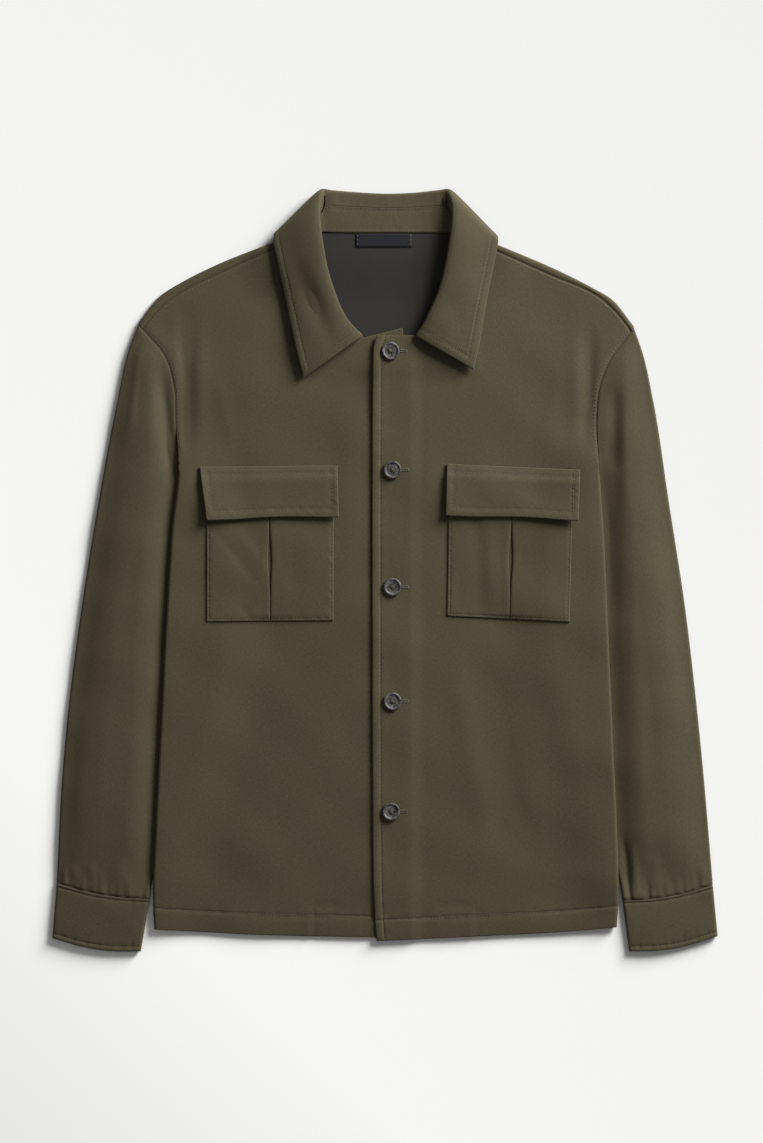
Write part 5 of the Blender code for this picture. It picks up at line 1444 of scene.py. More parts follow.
def make_collar():
    """The stand and the leaf, which meet at a seam below the roll."""
    shape = CollarShape()
    every = np.ones((len(shape.sections), 1))
    make_stand(shape, every)
    start = STAND_SHARE + (SEAM_GAP * 1.3 / shape.length)[:, None]
    fall_length = np.linalg.norm(shape.cut - shape.high, axis=1)[:, None]
    near_edge = np.clip(1.0 - np.array(COLLAR_EDGE_STEPS)[None] / fall_length, 0.30, 1.0)
    middle = near_edge[:, :1] * np.linspace(0.06, 0.94, COLLAR_COLUMNS)[None]
    places = np.concatenate([start + (1 - start) * np.linspace(0.0, 1.0, 6)[None],
                             1.0 + np.linspace(0.12, 1.0, 8)[None] * every,
                             2.0 + middle, 2.0 + near_edge], axis=1)
    grid, normals = shape.faces(places)
    from_cut = np.cumsum(np.linalg.norm(np.diff(grid, axis=1), axis=2)[:, ::-1], axis=1)[:, ::-1]
    from_cut = np.concatenate([from_cut, np.zeros((len(grid), 1))], axis=1)
    steps = np.linalg.norm(np.diff(grid, axis=0), axis=2)
    from_first = np.concatenate([np.zeros((1, grid.shape[1])), np.cumsum(steps, axis=0)])
    from_last = from_first[-1:] - from_first
    from_front = np.minimum(from_first, from_last)
    share = (shape.sections / shape.sections[-1])[:, None]
    level = RIGHT_LEAF_STITCH + (LEFT_LEAF_STITCH - RIGHT_LEAF_STITCH) * ease((share - 0.4) / 0.2)
    border = np.minimum(from_cut, from_front)
    flat = cloth_lengths(grid)
    relief = 0.6 * sewn(border, level, flat[..., 0] / MM + flat[..., 1] / MM, 51, 0.55)
    relief += 0.35 * ease((share - 0.6) / 0.2) * np.exp(-((border - level - 1.8) / 1.6) ** 2)
    relief += hollows(LEAF_HOLLOWS, grid[..., 0], grid[..., 1]) * (normals[..., 2] > 0.0)
    relief += sizes().ripple / MM * 0.6 * ripples(grid[..., 0] * 1.5, grid[..., 1] * 1.5)
    relief = relief * (1 - shape.below[:, None])
    outer, inner = soft_wall(grid, normals, COLLAR_WALL, relief, border)
    leaf = cover("collar_leaf", cloth_finish("collar"), (outer, inner, fade(border, 0.4, 2.2), flat))
    sewing = Sewing(34)
    shown = [k for k in range(len(grid)) if shape.below[k] < 0.5]
    for half in ([k for k in shown if share[k] < 0.5], [k for k in shown if share[k] > 0.5]):
        rows = [k for k in half if from_front[k, -1] > level[k, 0] * 1.05]
        stitched = level[half[0], 0]
        sewing.seam(outer, normals, from_cut, stitched, rows, mirrored=True)
        from_end = from_first if share[half[0], 0] < 0.5 else from_last
        columns = [i for i in range(14, grid.shape[1]) if from_cut[half[0], i] > stitched * 1.05
                   and from_cut[half[-1], i] > stitched * 1.05]
        sewing.seam(outer, normals, from_end, stitched, columns, True, share[half[0], 0] > 0.5)
    thread = sewing.build("shirt_collar_topstitch", thread_finish())
    return leaf


def make_stand(shape, every):
    places = np.array(STAND_STEPS)[None] * STAND_SHARE * every
    grid, normals = shape.faces(places)
    steps = np.linalg.norm(np.diff(grid, axis=1), axis=2)
    from_neck = np.concatenate([np.zeros((len(grid), 1)), np.cumsum(steps, axis=1)], axis=1)
    from_top = from_neck[:, -1:] - from_neck
    flat = cloth_lengths(grid)
    place = flat[..., 1] / MM
    relief = (0.5 * sewn(from_top, STAND_STITCH, place, 52, 0.2)
              + 0.5 * sewn(from_neck, NECK_STITCH, place, 53, 0.4))
    relief *= ease(shape.length / 16.0)[:, None]
    outer, inner = soft_wall(grid, normals, COLLAR_WALL, relief, np.minimum(from_top, from_neck) + 0.5)
    stand = cover("collar_stand", cloth_finish("collar"), (outer, inner, None, flat))
    sewing = Sewing(35)
    rows = [k for k in range(len(grid)) if shape.length[k] > 14.0]
    sewing.seam(outer, normals, from_top, STAND_STITCH, rows, mirrored=True)
    sewing.seam(outer, normals, from_neck, NECK_STITCH, rows)
    thread = sewing.build("shirt_collar_stand_topstitch", thread_finish())
    return stand


# ==== Neck lining and label

def make_lining():
    rows = np.linspace(0.0, 1.0, 48)
    columns = np.linspace(-1.0, 1.0, 70)
    y = LINING_LOW_Y + rows[:, None] * (LINING_TOP_Y - LINING_LOW_Y) * np.ones(len(columns))
    half = LINING_HALF_LOW + (LINING_HALF_TOP - LINING_HALF_LOW) * ease((rows - 0.6) / 0.4)
    x = half[:, None] * columns
    plan = np.stack([x, y], axis=-1)
    rise = sizes().ripple / MM * 0.8 * ripples(x * 0.8, y * 0.8) * fade(y, 300.0, 330.0)
    z = back_low(x, y) + CLOTH + SEAM_GAP + LINING + positive(rise, 0.05)
    piece = cover("neck_lining", lining_finish(), (stack(plan, z), stack(plan, z - LINING)),
                  node="back_lining", slot="lining")
    return piece


def make_label():
    x0, y0, x1, y1 = LABEL_BOX
    x = np.linspace(x0, x1, 60)[None] * np.ones((16, 1))
    y = np.linspace(y0, y1, 16)[:, None] * np.ones(60)
    border = np.minimum(np.minimum(x - x0, x1 - x), np.minimum(y - y0, y1 - y))
    ends = np.minimum(x - x0, x1 - x)
    bow = 0.35 * np.sin(np.pi * (x - x0) / (x1 - x0)) ** 0.5 - 0.25 * np.exp(-((ends - 1.6) / 0.8) ** 2)
    z = back_low(x, y) + CLOTH + 2 * SEAM_GAP + 2 * LINING + positive(0.5 * bow, 0.05)
    plan = np.stack([x, y], axis=-1)
    fall = edge_fall(border, 0.6)
    outer = stack(plan, z - 0.4 * fall)
    piece = cover("neck_label", label_finish(),
                  (outer, stack(plan, z - LINING + 0.3 * fall)), slot="label")
    sewing = Sewing(36)
    normals = upward_normals(outer)
    columns = (59.0 * 1.6 / (x1 - x0), 59.0 * (1 - 1.6 / (x1 - x0)))
    for column in columns:
        sewing.line(*grid_line(outer, normals, np.linspace(0.8, 14.2, 20), np.full(20, column)))
    thread = sewing.build("shirt_neck_label_stitches", thread_finish())
    return piece


# ==== Pockets, flaps and buttons

def patch_plan(patch, across, upward):
    """Plan grid of a four-cornered patch; across may hold one row of shares for each row."""
    corners = [np.array(corner) for corner in patch]
    u = np.broadcast_to(across, (len(upward), across.shape[-1]))[..., None]
    v = upward[:, None, None]
    low = corners[0] * (1 - u) + corners[1] * u
    top = corners[2] * (1 - u) + corners[3] * u
    return low * (1 - v) + top * v


def slit_places(side, patch, upward):
    """Shares across the pocket of the pleat's middle, one for each row, and its width there."""
    foot, head = PLEAT_X[side]
    middle = foot + (head - foot) * upward
    inner = patch.low_in[0] + (patch.top_in[0] - patch.low_in[0]) * upward
    outer = patch.low_out[0] + (patch.top_out[0] - patch.low_out[0]) * upward
    return (middle - inner) / (outer - inner), np.abs(outer - inner)


def pocket_rows(patch):
    height = abs(patch.top_in[1] - patch.low_in[1])
    return steps_from(0.0, PATCH_STEPS, height, 2.2) / height, height


def make_pocket(side):
    patch = POCKETS[side]
    upward, height = pocket_rows(patch)
    middle, width = slit_places(side, patch, upward)
    slit = spline(*zip(*SLIT), upward)
    edge_steps = np.array(PATCH_STEPS)
    lips = np.array(LIP_STEPS)
    flank = np.array([row.away for row in FLANK])
    rise = [row.rise for row in FLANK]
    offsets = []
    heights = []
    for way in (-1.0, 1.0):
        room = (middle if way < 0 else 1 - middle) * width
        beyond = slit[:, None] / 2 + lips[None]
        past = np.tile(PLEAT_HALF + flank[None], (len(upward), 1))
        border = room[:, None] - edge_steps[None]
        between = past[:, -1:] + (border[:, -1:] - past[:, -1:]) * np.linspace(0.0, 1.0, 12)[None, 1:-1]
        side_offsets = np.concatenate([beyond, past, between, border[:, ::-1]], axis=1)
        side_heights = np.concatenate([np.array(LIP_HEIGHTS) * PLEAT_EXTRA, np.array(rise) * PLEAT_EXTRA,
                                       np.zeros(between.shape[1] + len(edge_steps))])
        if way < 0:
            offsets += [-side_offsets[:, ::-1], slit[:, None] * np.array([[-0.5, -0.25, 0.25, 0.5]])]
            heights += [side_heights[::-1], np.full(4, PLEAT_EXTRA - SLIT_DEPTH)]
        else:
            offsets.append(side_offsets)
            heights.append(side_heights)
    offset = np.concatenate(offsets, axis=1)
    extra = np.concatenate(heights)
    plan = patch_plan(patch, middle[:, None] + offset / width[:, None], upward)
    x, y = plan[..., 0], plan[..., 1]
    from_sides = np.minimum(offset + (middle * width)[:, None], ((1 - middle) * width)[:, None] - offset)
    from_foot = upward[:, None] * height
    border = np.minimum(from_sides, from_foot)
    foot = ease(from_foot / 6.0)
    relief = 0.7 * sewn(border, POCKET_STITCH, x + y, 61, 0.25)
    relief += hollows(POCKET_HOLLOWS[side], x, y) + sizes().ripple / MM * 0.7 * ripples(x * 1.2, y * 1.2)
    relief = relief * ease(border / 4.0 + 0.35)
    base = front_top(side, x, y) + PATCH_GAP * ease(border / 5.0 + 0.3)
    z = base + CLOTH + extra[None] * foot + np.maximum(relief, -0.6)
    fall = edge_fall(np.maximum(border, 0.0))
    outer = stack(plan, z - 0.6 * fall)
    piece = cover("pocket_" + side, cloth_finish("pocket"),
                  (outer, stack(plan, base + 0.25 * fall), fade(border, 0.4, 1.8)))
    normals = upward_normals(outer)
    sewing = Sewing(37)
    below = range(int(np.argmax(from_foot[:, 0] > POCKET_STITCH)), len(upward) - 1)
    inner_side = offset + (middle * width)[:, None]
    outer_side = ((1 - middle) * width)[:, None] - offset
    sewing.seam(outer, normals, inner_side, POCKET_STITCH, below)
    sewing.seam(outer, normals, outer_side, POCKET_STITCH, below, mirrored=True)
    columns = [i for i in range(offset.shape[1]) if from_sides[3, i] > POCKET_STITCH]
    foot_grid = from_foot * np.ones(offset.shape)
    sewing.seam(outer, normals, foot_grid, POCKET_STITCH, columns, turned=True)
    thread = sewing.build("shirt_pocket_%s_topstitch" % side, thread_finish())
    return piece


def make_flap(side):
    patch = FLAPS[side]
    height = abs(patch.top_in[1] - patch.low_in[1])
    width = abs(patch.low_out[0] - patch.low_in[0])
    rows = close_at_ends(PATCH_STEPS, height, 24) / height
    columns = close_at_ends(PATCH_STEPS, width, 56) / width
    plan = patch_plan(patch, columns[None], rows)
    plan[..., 1] += FLAP_WAVE * (1 - rows[:, None]) ** 2 * np.sin(FLAP_WAVES * columns + len(side))
    x, y = plan[..., 0], plan[..., 1]
    from_low = rows[:, None] * height * np.ones(len(columns))
    from_top = height - from_low
    from_in = columns[None] * width * np.ones((len(rows), 1))
    from_out = width - from_in
    base = front_top(side, x, y) + PATCH_GAP
    clear = (FLAP_CLEAR + FLAP_STAND * (1 - rows) ** 2)[:, None] * ease((1 - rows) / 0.3)[:, None]
    corner = FLAP_CORNER_LIFT * ((1 - rows)[:, None] * columns[None]) ** 2
    waves = 0.35 * ease(from_top / 30.0) * np.sin(2 * math.pi * (from_in / 67.0 + 0.13))
    low = base + clear + corner + positive(waves, 0.1)
    border = np.minimum(np.minimum(from_low, from_top), np.minimum(from_in, from_out))
    sides = np.minimum(from_in, from_out)
    level = np.minimum(from_low - FLAP_STITCH_LOW, sides - FLAP_STITCH_SIDE)
    relief = 0.8 * sewn(level + FLAP_STITCH_LOW, FLAP_STITCH_LOW, x + y, 62 + len(side), 0.35)
    relief += -0.45 * np.exp(-((from_top - FLAP_STITCH_TOP) / 1.1) ** 2)
    relief += 0.3 * np.exp(-((from_top - FLAP_STITCH_TOP + 4.0) / 3.0) ** 2)
    relief += sizes().ripple / MM * 0.6 * ripples(x * 1.3 + 40.0, y * 1.3) * ease(border / 6.0)
    relief += hollows(FLAP_HOLLOWS[side], x, y)
    fall = edge_fall(border, FLAP_WALL * 0.6)
    outer = stack(plan, low + FLAP_WALL + relief - 0.7 * fall)
    inner = stack(plan, low + 0.5 * fall)
    piece = cover("flap_" + side, cloth_finish("flap"), (outer, inner, fade(border, 0.4, 2.2)))
    normals = upward_normals(outer)
    inside = [i for i in range(len(columns)) if sides[0, i] >= FLAP_STITCH_SIDE]
    beside = [j for j in range(len(rows)) if FLAP_STITCH_LOW <= from_low[j, 0] <= height - 1.0]
    whole = range(2, len(columns) - 2)
    sewing = Sewing(38)
    sewing.seam(outer, normals, from_low, FLAP_STITCH_LOW, inside, turned=True)
    sewing.seam(outer, normals, from_top, FLAP_STITCH_TOP, whole, turned=True, mirrored=True)
    sewing.seam(outer, normals, from_in, FLAP_STITCH_SIDE, beside)
    sewing.seam(outer, normals, from_out, FLAP_STITCH_SIDE, beside, mirrored=True)
    thread = sewing.build("shirt_flap_%s_topstitch" % side, thread_finish())
    return piece


def button_mesh():
    """A dished four-hole button with a raised rim, its foot at the origin."""
    mesh = bmesh.new()
    loops = []
    ring = np.linspace(0.0, 2 * math.pi, BUTTON_RING, endpoint=False)
    for radius, height in BUTTON_PROFILE:
        loops.append([mesh.verts.new((radius * math.cos(a) * MM, radius * math.sin(a) * MM, height * MM))
                      for a in ring])
    for low, high in zip(loops, loops[1:]):
        for i in range(BUTTON_RING):
            k = (i + 1) % BUTTON_RING
            mesh.faces.new([low[i], low[k], high[k], high[i]])
    mesh.faces.new(loops[0])
    mesh.faces.new(loops[-1][::-1])
    bmesh.ops.recalc_face_normals(mesh, faces=mesh.faces)
    data = bpy.data.meshes.new("button_blank")
    mesh.to_mesh(data)
    mesh.free()
    blank = add_object("button_blank", data)
    holes = bmesh.new()
    for quarter in range(4):
        angle = math.radians(45.0 + 90.0 * quarter)
        middle = (BUTTON_HOLE_REACH * math.cos(angle) * MM, BUTTON_HOLE_REACH * math.sin(angle) * MM,
                  BUTTON_HEIGHT / 2 * MM)
        made = bmesh.ops.create_cone(holes, cap_ends=True, segments=24, depth=3 * BUTTON_HEIGHT * MM,
                                     radius1=BUTTON_HOLE_RADIUS * MM, radius2=BUTTON_HOLE_RADIUS * MM)
        bmesh.ops.translate(holes, verts=made["verts"], vec=middle)
    drilled = bpy.data.meshes.new("button_drill")
    holes.to_mesh(drilled)
    holes.free()
    drill = add_object("button_drill", drilled)
    cut = blank.modifiers.new("holes", "BOOLEAN")
    cut.object = drill
    cut.operation = "DIFFERENCE"
    cut.solver = "EXACT"
    seen = bpy.context.evaluated_depsgraph_get()
    pierced = bpy.data.meshes.new_from_object(blank.evaluated_get(seen))
    for helper in (blank, drill):
        bpy.data.objects.remove(helper, do_unlink=True)
    return pierced


def make_buttons():
    pierced = button_mesh()
    for number, place in enumerate(BUTTONS, start=1):
        ring = np.linspace(0.0, 2 * math.pi, 20, endpoint=False)
        samples = np.array([place]) + BUTTON_RADIUS * np.stack([np.cos(ring), np.sin(ring)], axis=-1)
        rest = float(np.max(front_top("left", *samples.T))) + SEAM_GAP
        turned = math.radians(BUTTON_TURNS[number - 1])
        data = pierced.copy()
        points = np.zeros(len(data.vertices) * 3, dtype=np.float32)
        data.vertices.foreach_get("co", points)
        points = points.reshape(-1, 3)
        x = points[:, 0] * math.cos(turned) - points[:, 1] * math.sin(turned)
        y = points[:, 0] * math.sin(turned) + points[:, 1] * math.cos(turned)
        moved = np.stack([x + place.x * MM, y + place.y * MM, points[:, 2] + rest * MM], axis=1)
        data.vertices.foreach_set("co", moved.astype(np.float32).ravel())
        data.name = "shirt_button_%d" % number
        piece = finish(data, "shirt_button_%d" % number, button_finish())
        stands_for(piece, "button_%d" % number)
        threads = Sewing(70 + number)
        for quarter in (0, 1):
            angle = math.radians(45.0 + 90.0 * quarter) + turned
            way = np.array([math.cos(angle), math.sin(angle), 0.0])
            up = np.array([0.0, 0.0, 1.0])
            middle = np.array([place.x, place.y, rest + BUTTON_HEIGHT - BUTTON_DISH])
            for off in (-0.28, 0.28):
                shifted = middle + np.cross(up, way) * off + up * 0.35 * quarter
                threads.stitch(shifted, way, up, 2 * BUTTON_HOLE_REACH + 0.9, 0.62, 0.35)
        thread = threads.build("shirt_button_%d_thread" % number, thread_finish())


def make_buttonholes():
    """Satin-stitched slits beside the buttons, with a bar at the end."""
    for number, place in enumerate(BUTTONS, start=1):
        sewing = Sewing(80 + number)
        x = np.linspace(place.x - 4.0, place.x + BUTTONHOLE_REACH, 24)
        for off in (-0.95, 0.95):
            y = np.full_like(x, place.y + off)
            line = np.stack([x, y, front_top("left", x, y) + 0.12], axis=1)
            up = np.tile([0.0, 0.0, 1.0], (len(x), 1))
            sewing.bars(line, up, 1.5, 0.42, 0.5)
        y = np.linspace(place.y - 1.5, place.y + 1.5, 6)
        x_end = np.full_like(y, place.x + BUTTONHOLE_REACH + 0.6)
        line = np.stack([x_end, y, front_top("left", x_end, y) + 0.2], axis=1)
        sewing.bars(line, np.tile([0.0, 0.0, 1.0], (6, 1)), 1.7, 0.38, 0.5)
        sewing.build("shirt_buttonhole_%d" % number, thread_finish())


# ==== Finishes

class Nodes:
    """Short calls for building one material's nodes."""

    def __init__(self, name, colour):
        self.look = bpy.data.materials.new(name)
        self.look.use_nodes = True
        self.tree = self.look.node_tree
        self.shader = self.tree.nodes["Principled BSDF"]
        self.shader.inputs["Base Color"].default_value = (*colour, 1.0)
        self.colour = (*colour, 1.0)

    def node(self, kind, **values):
        made = self.tree.nodes.new(kind)
        for key, value in values.items():
            setattr(made, key, value)
        return made

    def link(self, start, end):
        self.tree.links.new(start, end)

    def flat(self, turn, stretch=(1.0, 1.0, 1.0)):
        """Flat-cloth coordinates in metres, turned and stretched."""
        uv = self.node("ShaderNodeUVMap", uv_map="flat")
        placed = self.node("ShaderNodeMapping")
        placed.inputs["Rotation"].default_value = (0.0, 0.0, turn)
        placed.inputs["Scale"].default_value = stretch
        self.link(uv.outputs["UV"], placed.inputs["Vector"])
        return placed.outputs["Vector"]

    def noise(self, vector, size, detail=3.0):
        made = self.node("ShaderNodeTexNoise")
        made.inputs["Scale"].default_value = 1.0 / size
        made.inputs["Detail"].default_value = detail
        self.link(vector, made.inputs["Vector"])
        return made.outputs["Fac"]

    def lines(self, vector, pitch, uneven):
        made = self.node("ShaderNodeTexWave", wave_type="BANDS", bands_direction="X")
        made.inputs["Scale"].default_value = math.pi / 10.0 / pitch
        made.inputs["Distortion"].default_value = uneven
        made.inputs["Detail"].default_value = 2.0
        made.inputs["Detail Scale"].default_value = 1.5
        self.link(vector, made.inputs["Vector"])
        return made.outputs["Fac"]

    def math(self, operation, first, second):
        made = self.node("ShaderNodeMath", operation=operation)
        for socket, value in zip(made.inputs, (first, second)):
            if isinstance(value, (int, float)):
                socket.default_value = value
            else:
                self.link(value, socket)
        return made.outputs["Value"]

    def mix(self, *parts, plus=None):
        """Sum of outputs, each times its weight, and of a plain number."""
        total = None
        for output, weight in parts:
            term = self.math("MULTIPLY", output, weight)
            total = term if total is None else self.math("ADD", total, term)
        return total if plus is None else self.math("ADD", total, plus)

    def shade(self, factor):
        """The material's colour times a factor."""
        made = self.node("ShaderNodeVectorMath", operation="SCALE")
        made.inputs[0].default_value = self.colour[:3]
        self.link(factor, made.inputs["Scale"])
        self.link(made.outputs["Vector"], self.shader.inputs["Base Color"])

    def bump(self, height, distance):
        made = self.node("ShaderNodeBump")
        made.inputs["Strength"].default_value = 1.0
        made.inputs["Distance"].default_value = distance
        self.link(height, made.inputs["Height"])
        self.link(made.outputs["Normal"], self.shader.inputs["Normal"])

    def set(self, **values):
        for key, value in values.items():
            self.shader.inputs[key.replace("_", " ")].default_value = value


def cloth_finish(kind):
    """Olive twill: fine diagonal lines, uneven yarns, slightly paler along the edges."""
    name = "twill_" + kind
    if name in bpy.data.materials:
        return bpy.data.materials[name]
    nodes = Nodes(name, colours().cloth)
    pitch = sizes().twill
    twill = nodes.lines(nodes.flat(TWILL_TURNS.get(kind, TWILL_TURN)), pitch, 2.4)
    yarns = nodes.noise(nodes.flat(0.0, (1.0, 0.35, 1.0)), 0.0011, 2.0)
    cross_yarns = nodes.noise(nodes.flat(0.0, (0.35, 1.0, 1.0)), 0.0013, 2.0)
    broad = nodes.noise(nodes.flat(0.4), 0.085, 3.0)
    wear = nodes.node("ShaderNodeAttribute", attribute_name="wear").outputs["Fac"]
    nodes.shade(nodes.mix((twill, 0.16), (yarns, 0.60), (cross_yarns, 0.40), (broad, 0.22),
                          (wear, 0.10), plus=0.31))
    nodes.bump(nodes.mix((twill, 0.55), (yarns, 0.45)), CLOTH_BUMP * MM)
    nodes.link(nodes.mix((yarns, 0.12), plus=0.76), nodes.shader.inputs["Roughness"])
    nodes.set(Sheen_Weight=0.12, Sheen_Roughness=0.5, Specular_IOR_Level=0.15,
              Sheen_Tint=(0.80, 0.72, 0.52, 1.0))
    return nodes.look


def thread_finish():
    """Twisted sewing thread, about as light as the cloth."""
    name = "sewing_thread"
    if name in bpy.data.materials:
        return bpy.data.materials[name]
    nodes = Nodes(name, colours().thread)
    where = nodes.node("ShaderNodeTexCoord").outputs["Object"]
    twist = nodes.noise(where, 0.0004, 2.0)
    nodes.shade(nodes.mix((twist, 0.5), plus=0.75))
    nodes.bump(twist, 0.0001)
    nodes.set(Roughness=0.62, Sheen_Weight=0.15)
    return nodes.look


def lining_finish():
    """Smooth dark grey lining with a soft uneven weave."""
    nodes = Nodes("neck_lining_weave", colours().lining)
    weave = nodes.noise(nodes.flat(0.0, (0.2, 1.0, 1.0)), 0.0009, 2.0)
    broad = nodes.noise(nodes.flat(0.0), 0.05, 3.0)
    nodes.shade(nodes.mix((broad, 0.5), plus=0.75))
    nodes.bump(weave, 0.00005)
    nodes.set(Roughness=0.7, Sheen_Weight=0.04, Sheen_Roughness=0.4, Specular_IOR_Level=0.2)
    return nodes.look


def label_finish():
    """Woven label without any mark."""
    nodes = Nodes("label_weave", colours().label)
    relief = nodes.noise(nodes.flat(0.0, (0.4, 1.0, 1.0)), 0.0007, 1.0)
    nodes.shade(nodes.mix((relief, 0.2), plus=0.9))
    nodes.bump(relief, 0.00004)
    nodes.set(Roughness=0.6, Sheen_Weight=0.03, Specular_IOR_Level=0.2)
    return nodes.look


def button_finish():
    """Dark horn-like resin with soft mottling."""
    name = "horn_resin"
    if name in bpy.data.materials:
        return bpy.data.materials[name]
    nodes = Nodes(name, colours().button)
    where = nodes.node("ShaderNodeTexCoord").outputs["Object"]
    clouds = nodes.noise(where, 0.0045, 4.0)
    specks = nodes.noise(where, 0.0011, 2.0)
    both = nodes.mix((clouds, 7.0), (specks, 6.0))
    nodes.shade(nodes.math("MAXIMUM", nodes.math("SUBTRACT", both, 5.0), 0.15))
    nodes.link(nodes.mix((clouds, 0.2), plus=0.42), nodes.shader.inputs["Roughness"])
    nodes.bump(specks, 0.00006)
    nodes.set(Coat_Weight=0.05, Coat_Roughness=0.3, Specular_IOR_Level=0.35)
    return nodes.look


# ==== Stage

def stage_look():
    return bpy.context.scene.shirt_stage


def make_stage():
    scene = bpy.context.scene
    data = bpy.data.meshes.new("table")
    half = FLOOR_HALF
    data.from_pydata([(-half, -half, 0.0), (half, -half, 0.0), (half, half, 0.0), (-half, half, 0.0)],
                     [], [(0, 1, 2, 3)])
    floor = add_object("table", data)
    floor.location.z = -FLOOR_GAP
    nodes = Nodes("pale_table", stage_look().floor)
    nodes.set(Roughness=0.9, Specular_IOR_Level=0.2)
    # Painted light and shade: the table's colour is painted darker near the lamp and lighter away from it,
    # against the lamp's fall-off, so the table looks evenly bright.
    away = nodes.node("ShaderNodeVectorMath", operation="DISTANCE")
    nodes.link(nodes.node("ShaderNodeNewGeometry").outputs["Position"], away.inputs[0])
    away.inputs[1].default_value = KEY_PLACE
    middle = Vector(KEY_PLACE).length
    lit = nodes.math("POWER", nodes.math("DIVIDE", middle, away.outputs["Value"]), 3.0)
    total = nodes.mix((lit, FLOOR_KEY), plus=FLOOR_FILL)
    nodes.shade(nodes.math("MINIMUM", nodes.math("DIVIDE", 1.0, total), 1.24))
    data.materials.append(nodes.look)
    key_data = bpy.data.lights.new("window", "AREA")
    key_data.shape = "SQUARE"
    key_data.size = KEY_SIZE
    key_data.energy = stage_look().key
    key = add_object("window", key_data)
    key.location = KEY_PLACE
    key.rotation_euler = (-Vector(KEY_PLACE)).to_track_quat("-Z", "Y").to_euler()
    world = bpy.data.worlds.new("studio")
    world.use_nodes = True
    ground = world.node_tree.nodes["Background"]
    ground.inputs["Color"].default_value = (1.0, 1.0, 1.0, 1.0)
    ground.inputs["Strength"].default_value = stage_look().fill
    scene.world = world
    eye_data = bpy.data.cameras.new("overhead")
    eye_data.lens = CAMERA_LENS
    eye_data.sensor_fit = "VERTICAL"
    eye_data.sensor_height = CAMERA_SENSOR
    eye = add_object("overhead", eye_data)
    eye.location = CAMERA_PLACE
    scene.camera = eye
    scene.view_settings.view_transform = "Standard"


# ==== Operators, panel and run

class SHIRT_OT_back(Operator):
    """Lay the back, with its shoulder strips turned over to the forward seams"""
    bl_idname = "shirt.back"
    bl_label = "Back"

    def execute(self, context):
        make_back()
        return {"FINISHED"}


class SHIRT_OT_neck(Operator):
    """Add the dark neck lining and the bare label"""
    bl_idname = "shirt.neck"
    bl_label = "Neck lining and label"

    def execute(self, context):
        make_lining()
        make_label()
        return {"FINISHED"}


class SHIRT_OT_fronts(Operator):
    """Lay both fronts, the wearer's left one over the right, with hems and topstitching"""
    bl_idname = "shirt.fronts"
    bl_label = "Fronts"

    def execute(self, context):
        make_front("right")
        make_front("left")
        return {"FINISHED"}


class SHIRT_OT_sleeves(Operator):
    """Lay both sleeves, tucked under the sides of the body"""
    bl_idname = "shirt.sleeves"
    bl_label = "Sleeves"

    def execute(self, context):
        make_sleeve("right")
        make_sleeve("left")
        return {"FINISHED"}


class SHIRT_OT_cuffs(Operator):
    """Add both doubled cuffs"""
    bl_idname = "shirt.cuffs"
    bl_label = "Cuffs"

    def execute(self, context):
        make_cuff("right")
        make_cuff("left")
        return {"FINISHED"}


class SHIRT_OT_collar(Operator):
    """Add the collar stand and the leaf that rolls over it"""
    bl_idname = "shirt.collar"
    bl_label = "Collar"

    def execute(self, context):
        make_collar()
        return {"FINISHED"}


class SHIRT_OT_pockets(Operator):
    """Add both patch pockets with their inverted pleats"""
    bl_idname = "shirt.pockets"
    bl_label = "Pockets"

    def execute(self, context):
        make_pocket("right")
        make_pocket("left")
        return {"FINISHED"}


class SHIRT_OT_flaps(Operator):
    """Add both pocket flaps"""
    bl_idname = "shirt.flaps"
    bl_label = "Pocket flaps"

    def execute(self, context):
        make_flap("right")
        make_flap("left")
        return {"FINISHED"}


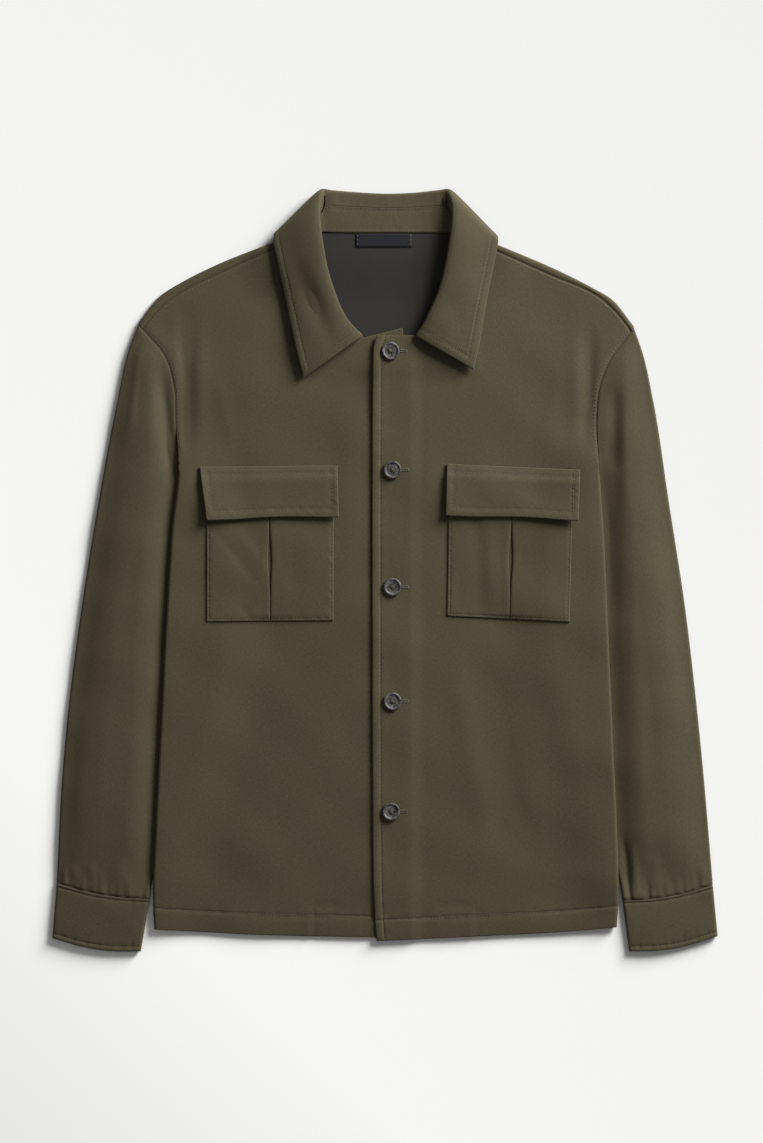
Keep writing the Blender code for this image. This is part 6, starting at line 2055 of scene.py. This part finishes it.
class SHIRT_OT_buttons(Operator):
    """Add the five buttons with their threads and buttonholes"""
    bl_idname = "shirt.buttons"
    bl_label = "Buttons and buttonholes"

    def execute(self, context):
        make_buttons()
        make_buttonholes()
        return {"FINISHED"}


class SHIRT_OT_stage(Operator):
    """Add the table, the light and the camera that looks straight down"""
    bl_idname = "shirt.stage"
    bl_label = "Stage"

    def execute(self, context):
        make_stage()
        return {"FINISHED"}


class SHIRT_PT_panel(Panel):
    """Sizes, colours and builders of the shirt"""
    bl_idname = "SHIRT_PT_panel"
    bl_label = "Overshirt"
    bl_space_type = "VIEW_3D"
    bl_region_type = "UI"
    bl_category = "Shirt"

    def draw(self, context):
        for group in (context.scene.shirt_sizes, context.scene.shirt_colours, context.scene.shirt_stage):
            box = self.layout.box()
            for name in group.bl_rna.properties.keys():
                if name not in ("rna_type", "name"):
                    box.prop(group, name)
        for operator in OPERATORS:
            self.layout.operator(operator.bl_idname)


OPERATORS = (SHIRT_OT_back, SHIRT_OT_neck, SHIRT_OT_fronts, SHIRT_OT_sleeves, SHIRT_OT_cuffs,
             SHIRT_OT_collar, SHIRT_OT_pockets, SHIRT_OT_flaps, SHIRT_OT_buttons, SHIRT_OT_stage)
CLASSES = (ShirtSizes, ShirtColours, StageLook, *OPERATORS, SHIRT_PT_panel)


def register():
    for cls in CLASSES:
        bpy.utils.register_class(cls)
    bpy.types.Scene.shirt_sizes = PointerProperty(type=ShirtSizes)
    bpy.types.Scene.shirt_colours = PointerProperty(type=ShirtColours)
    bpy.types.Scene.shirt_stage = PointerProperty(type=StageLook)


def unregister():
    del bpy.types.Scene.shirt_stage
    del bpy.types.Scene.shirt_colours
    del bpy.types.Scene.shirt_sizes
    for cls in reversed(CLASSES):
        bpy.utils.unregister_class(cls)


def main():
    register()
    bpy.ops.shirt.back()
    bpy.ops.shirt.neck()
    bpy.ops.shirt.fronts()
    bpy.ops.shirt.sleeves()
    bpy.ops.shirt.cuffs()
    bpy.ops.shirt.collar()
    bpy.ops.shirt.pockets()
    bpy.ops.shirt.flaps()
    bpy.ops.shirt.buttons()
    bpy.ops.shirt.stage()


if __name__ == "__main__":
    main()
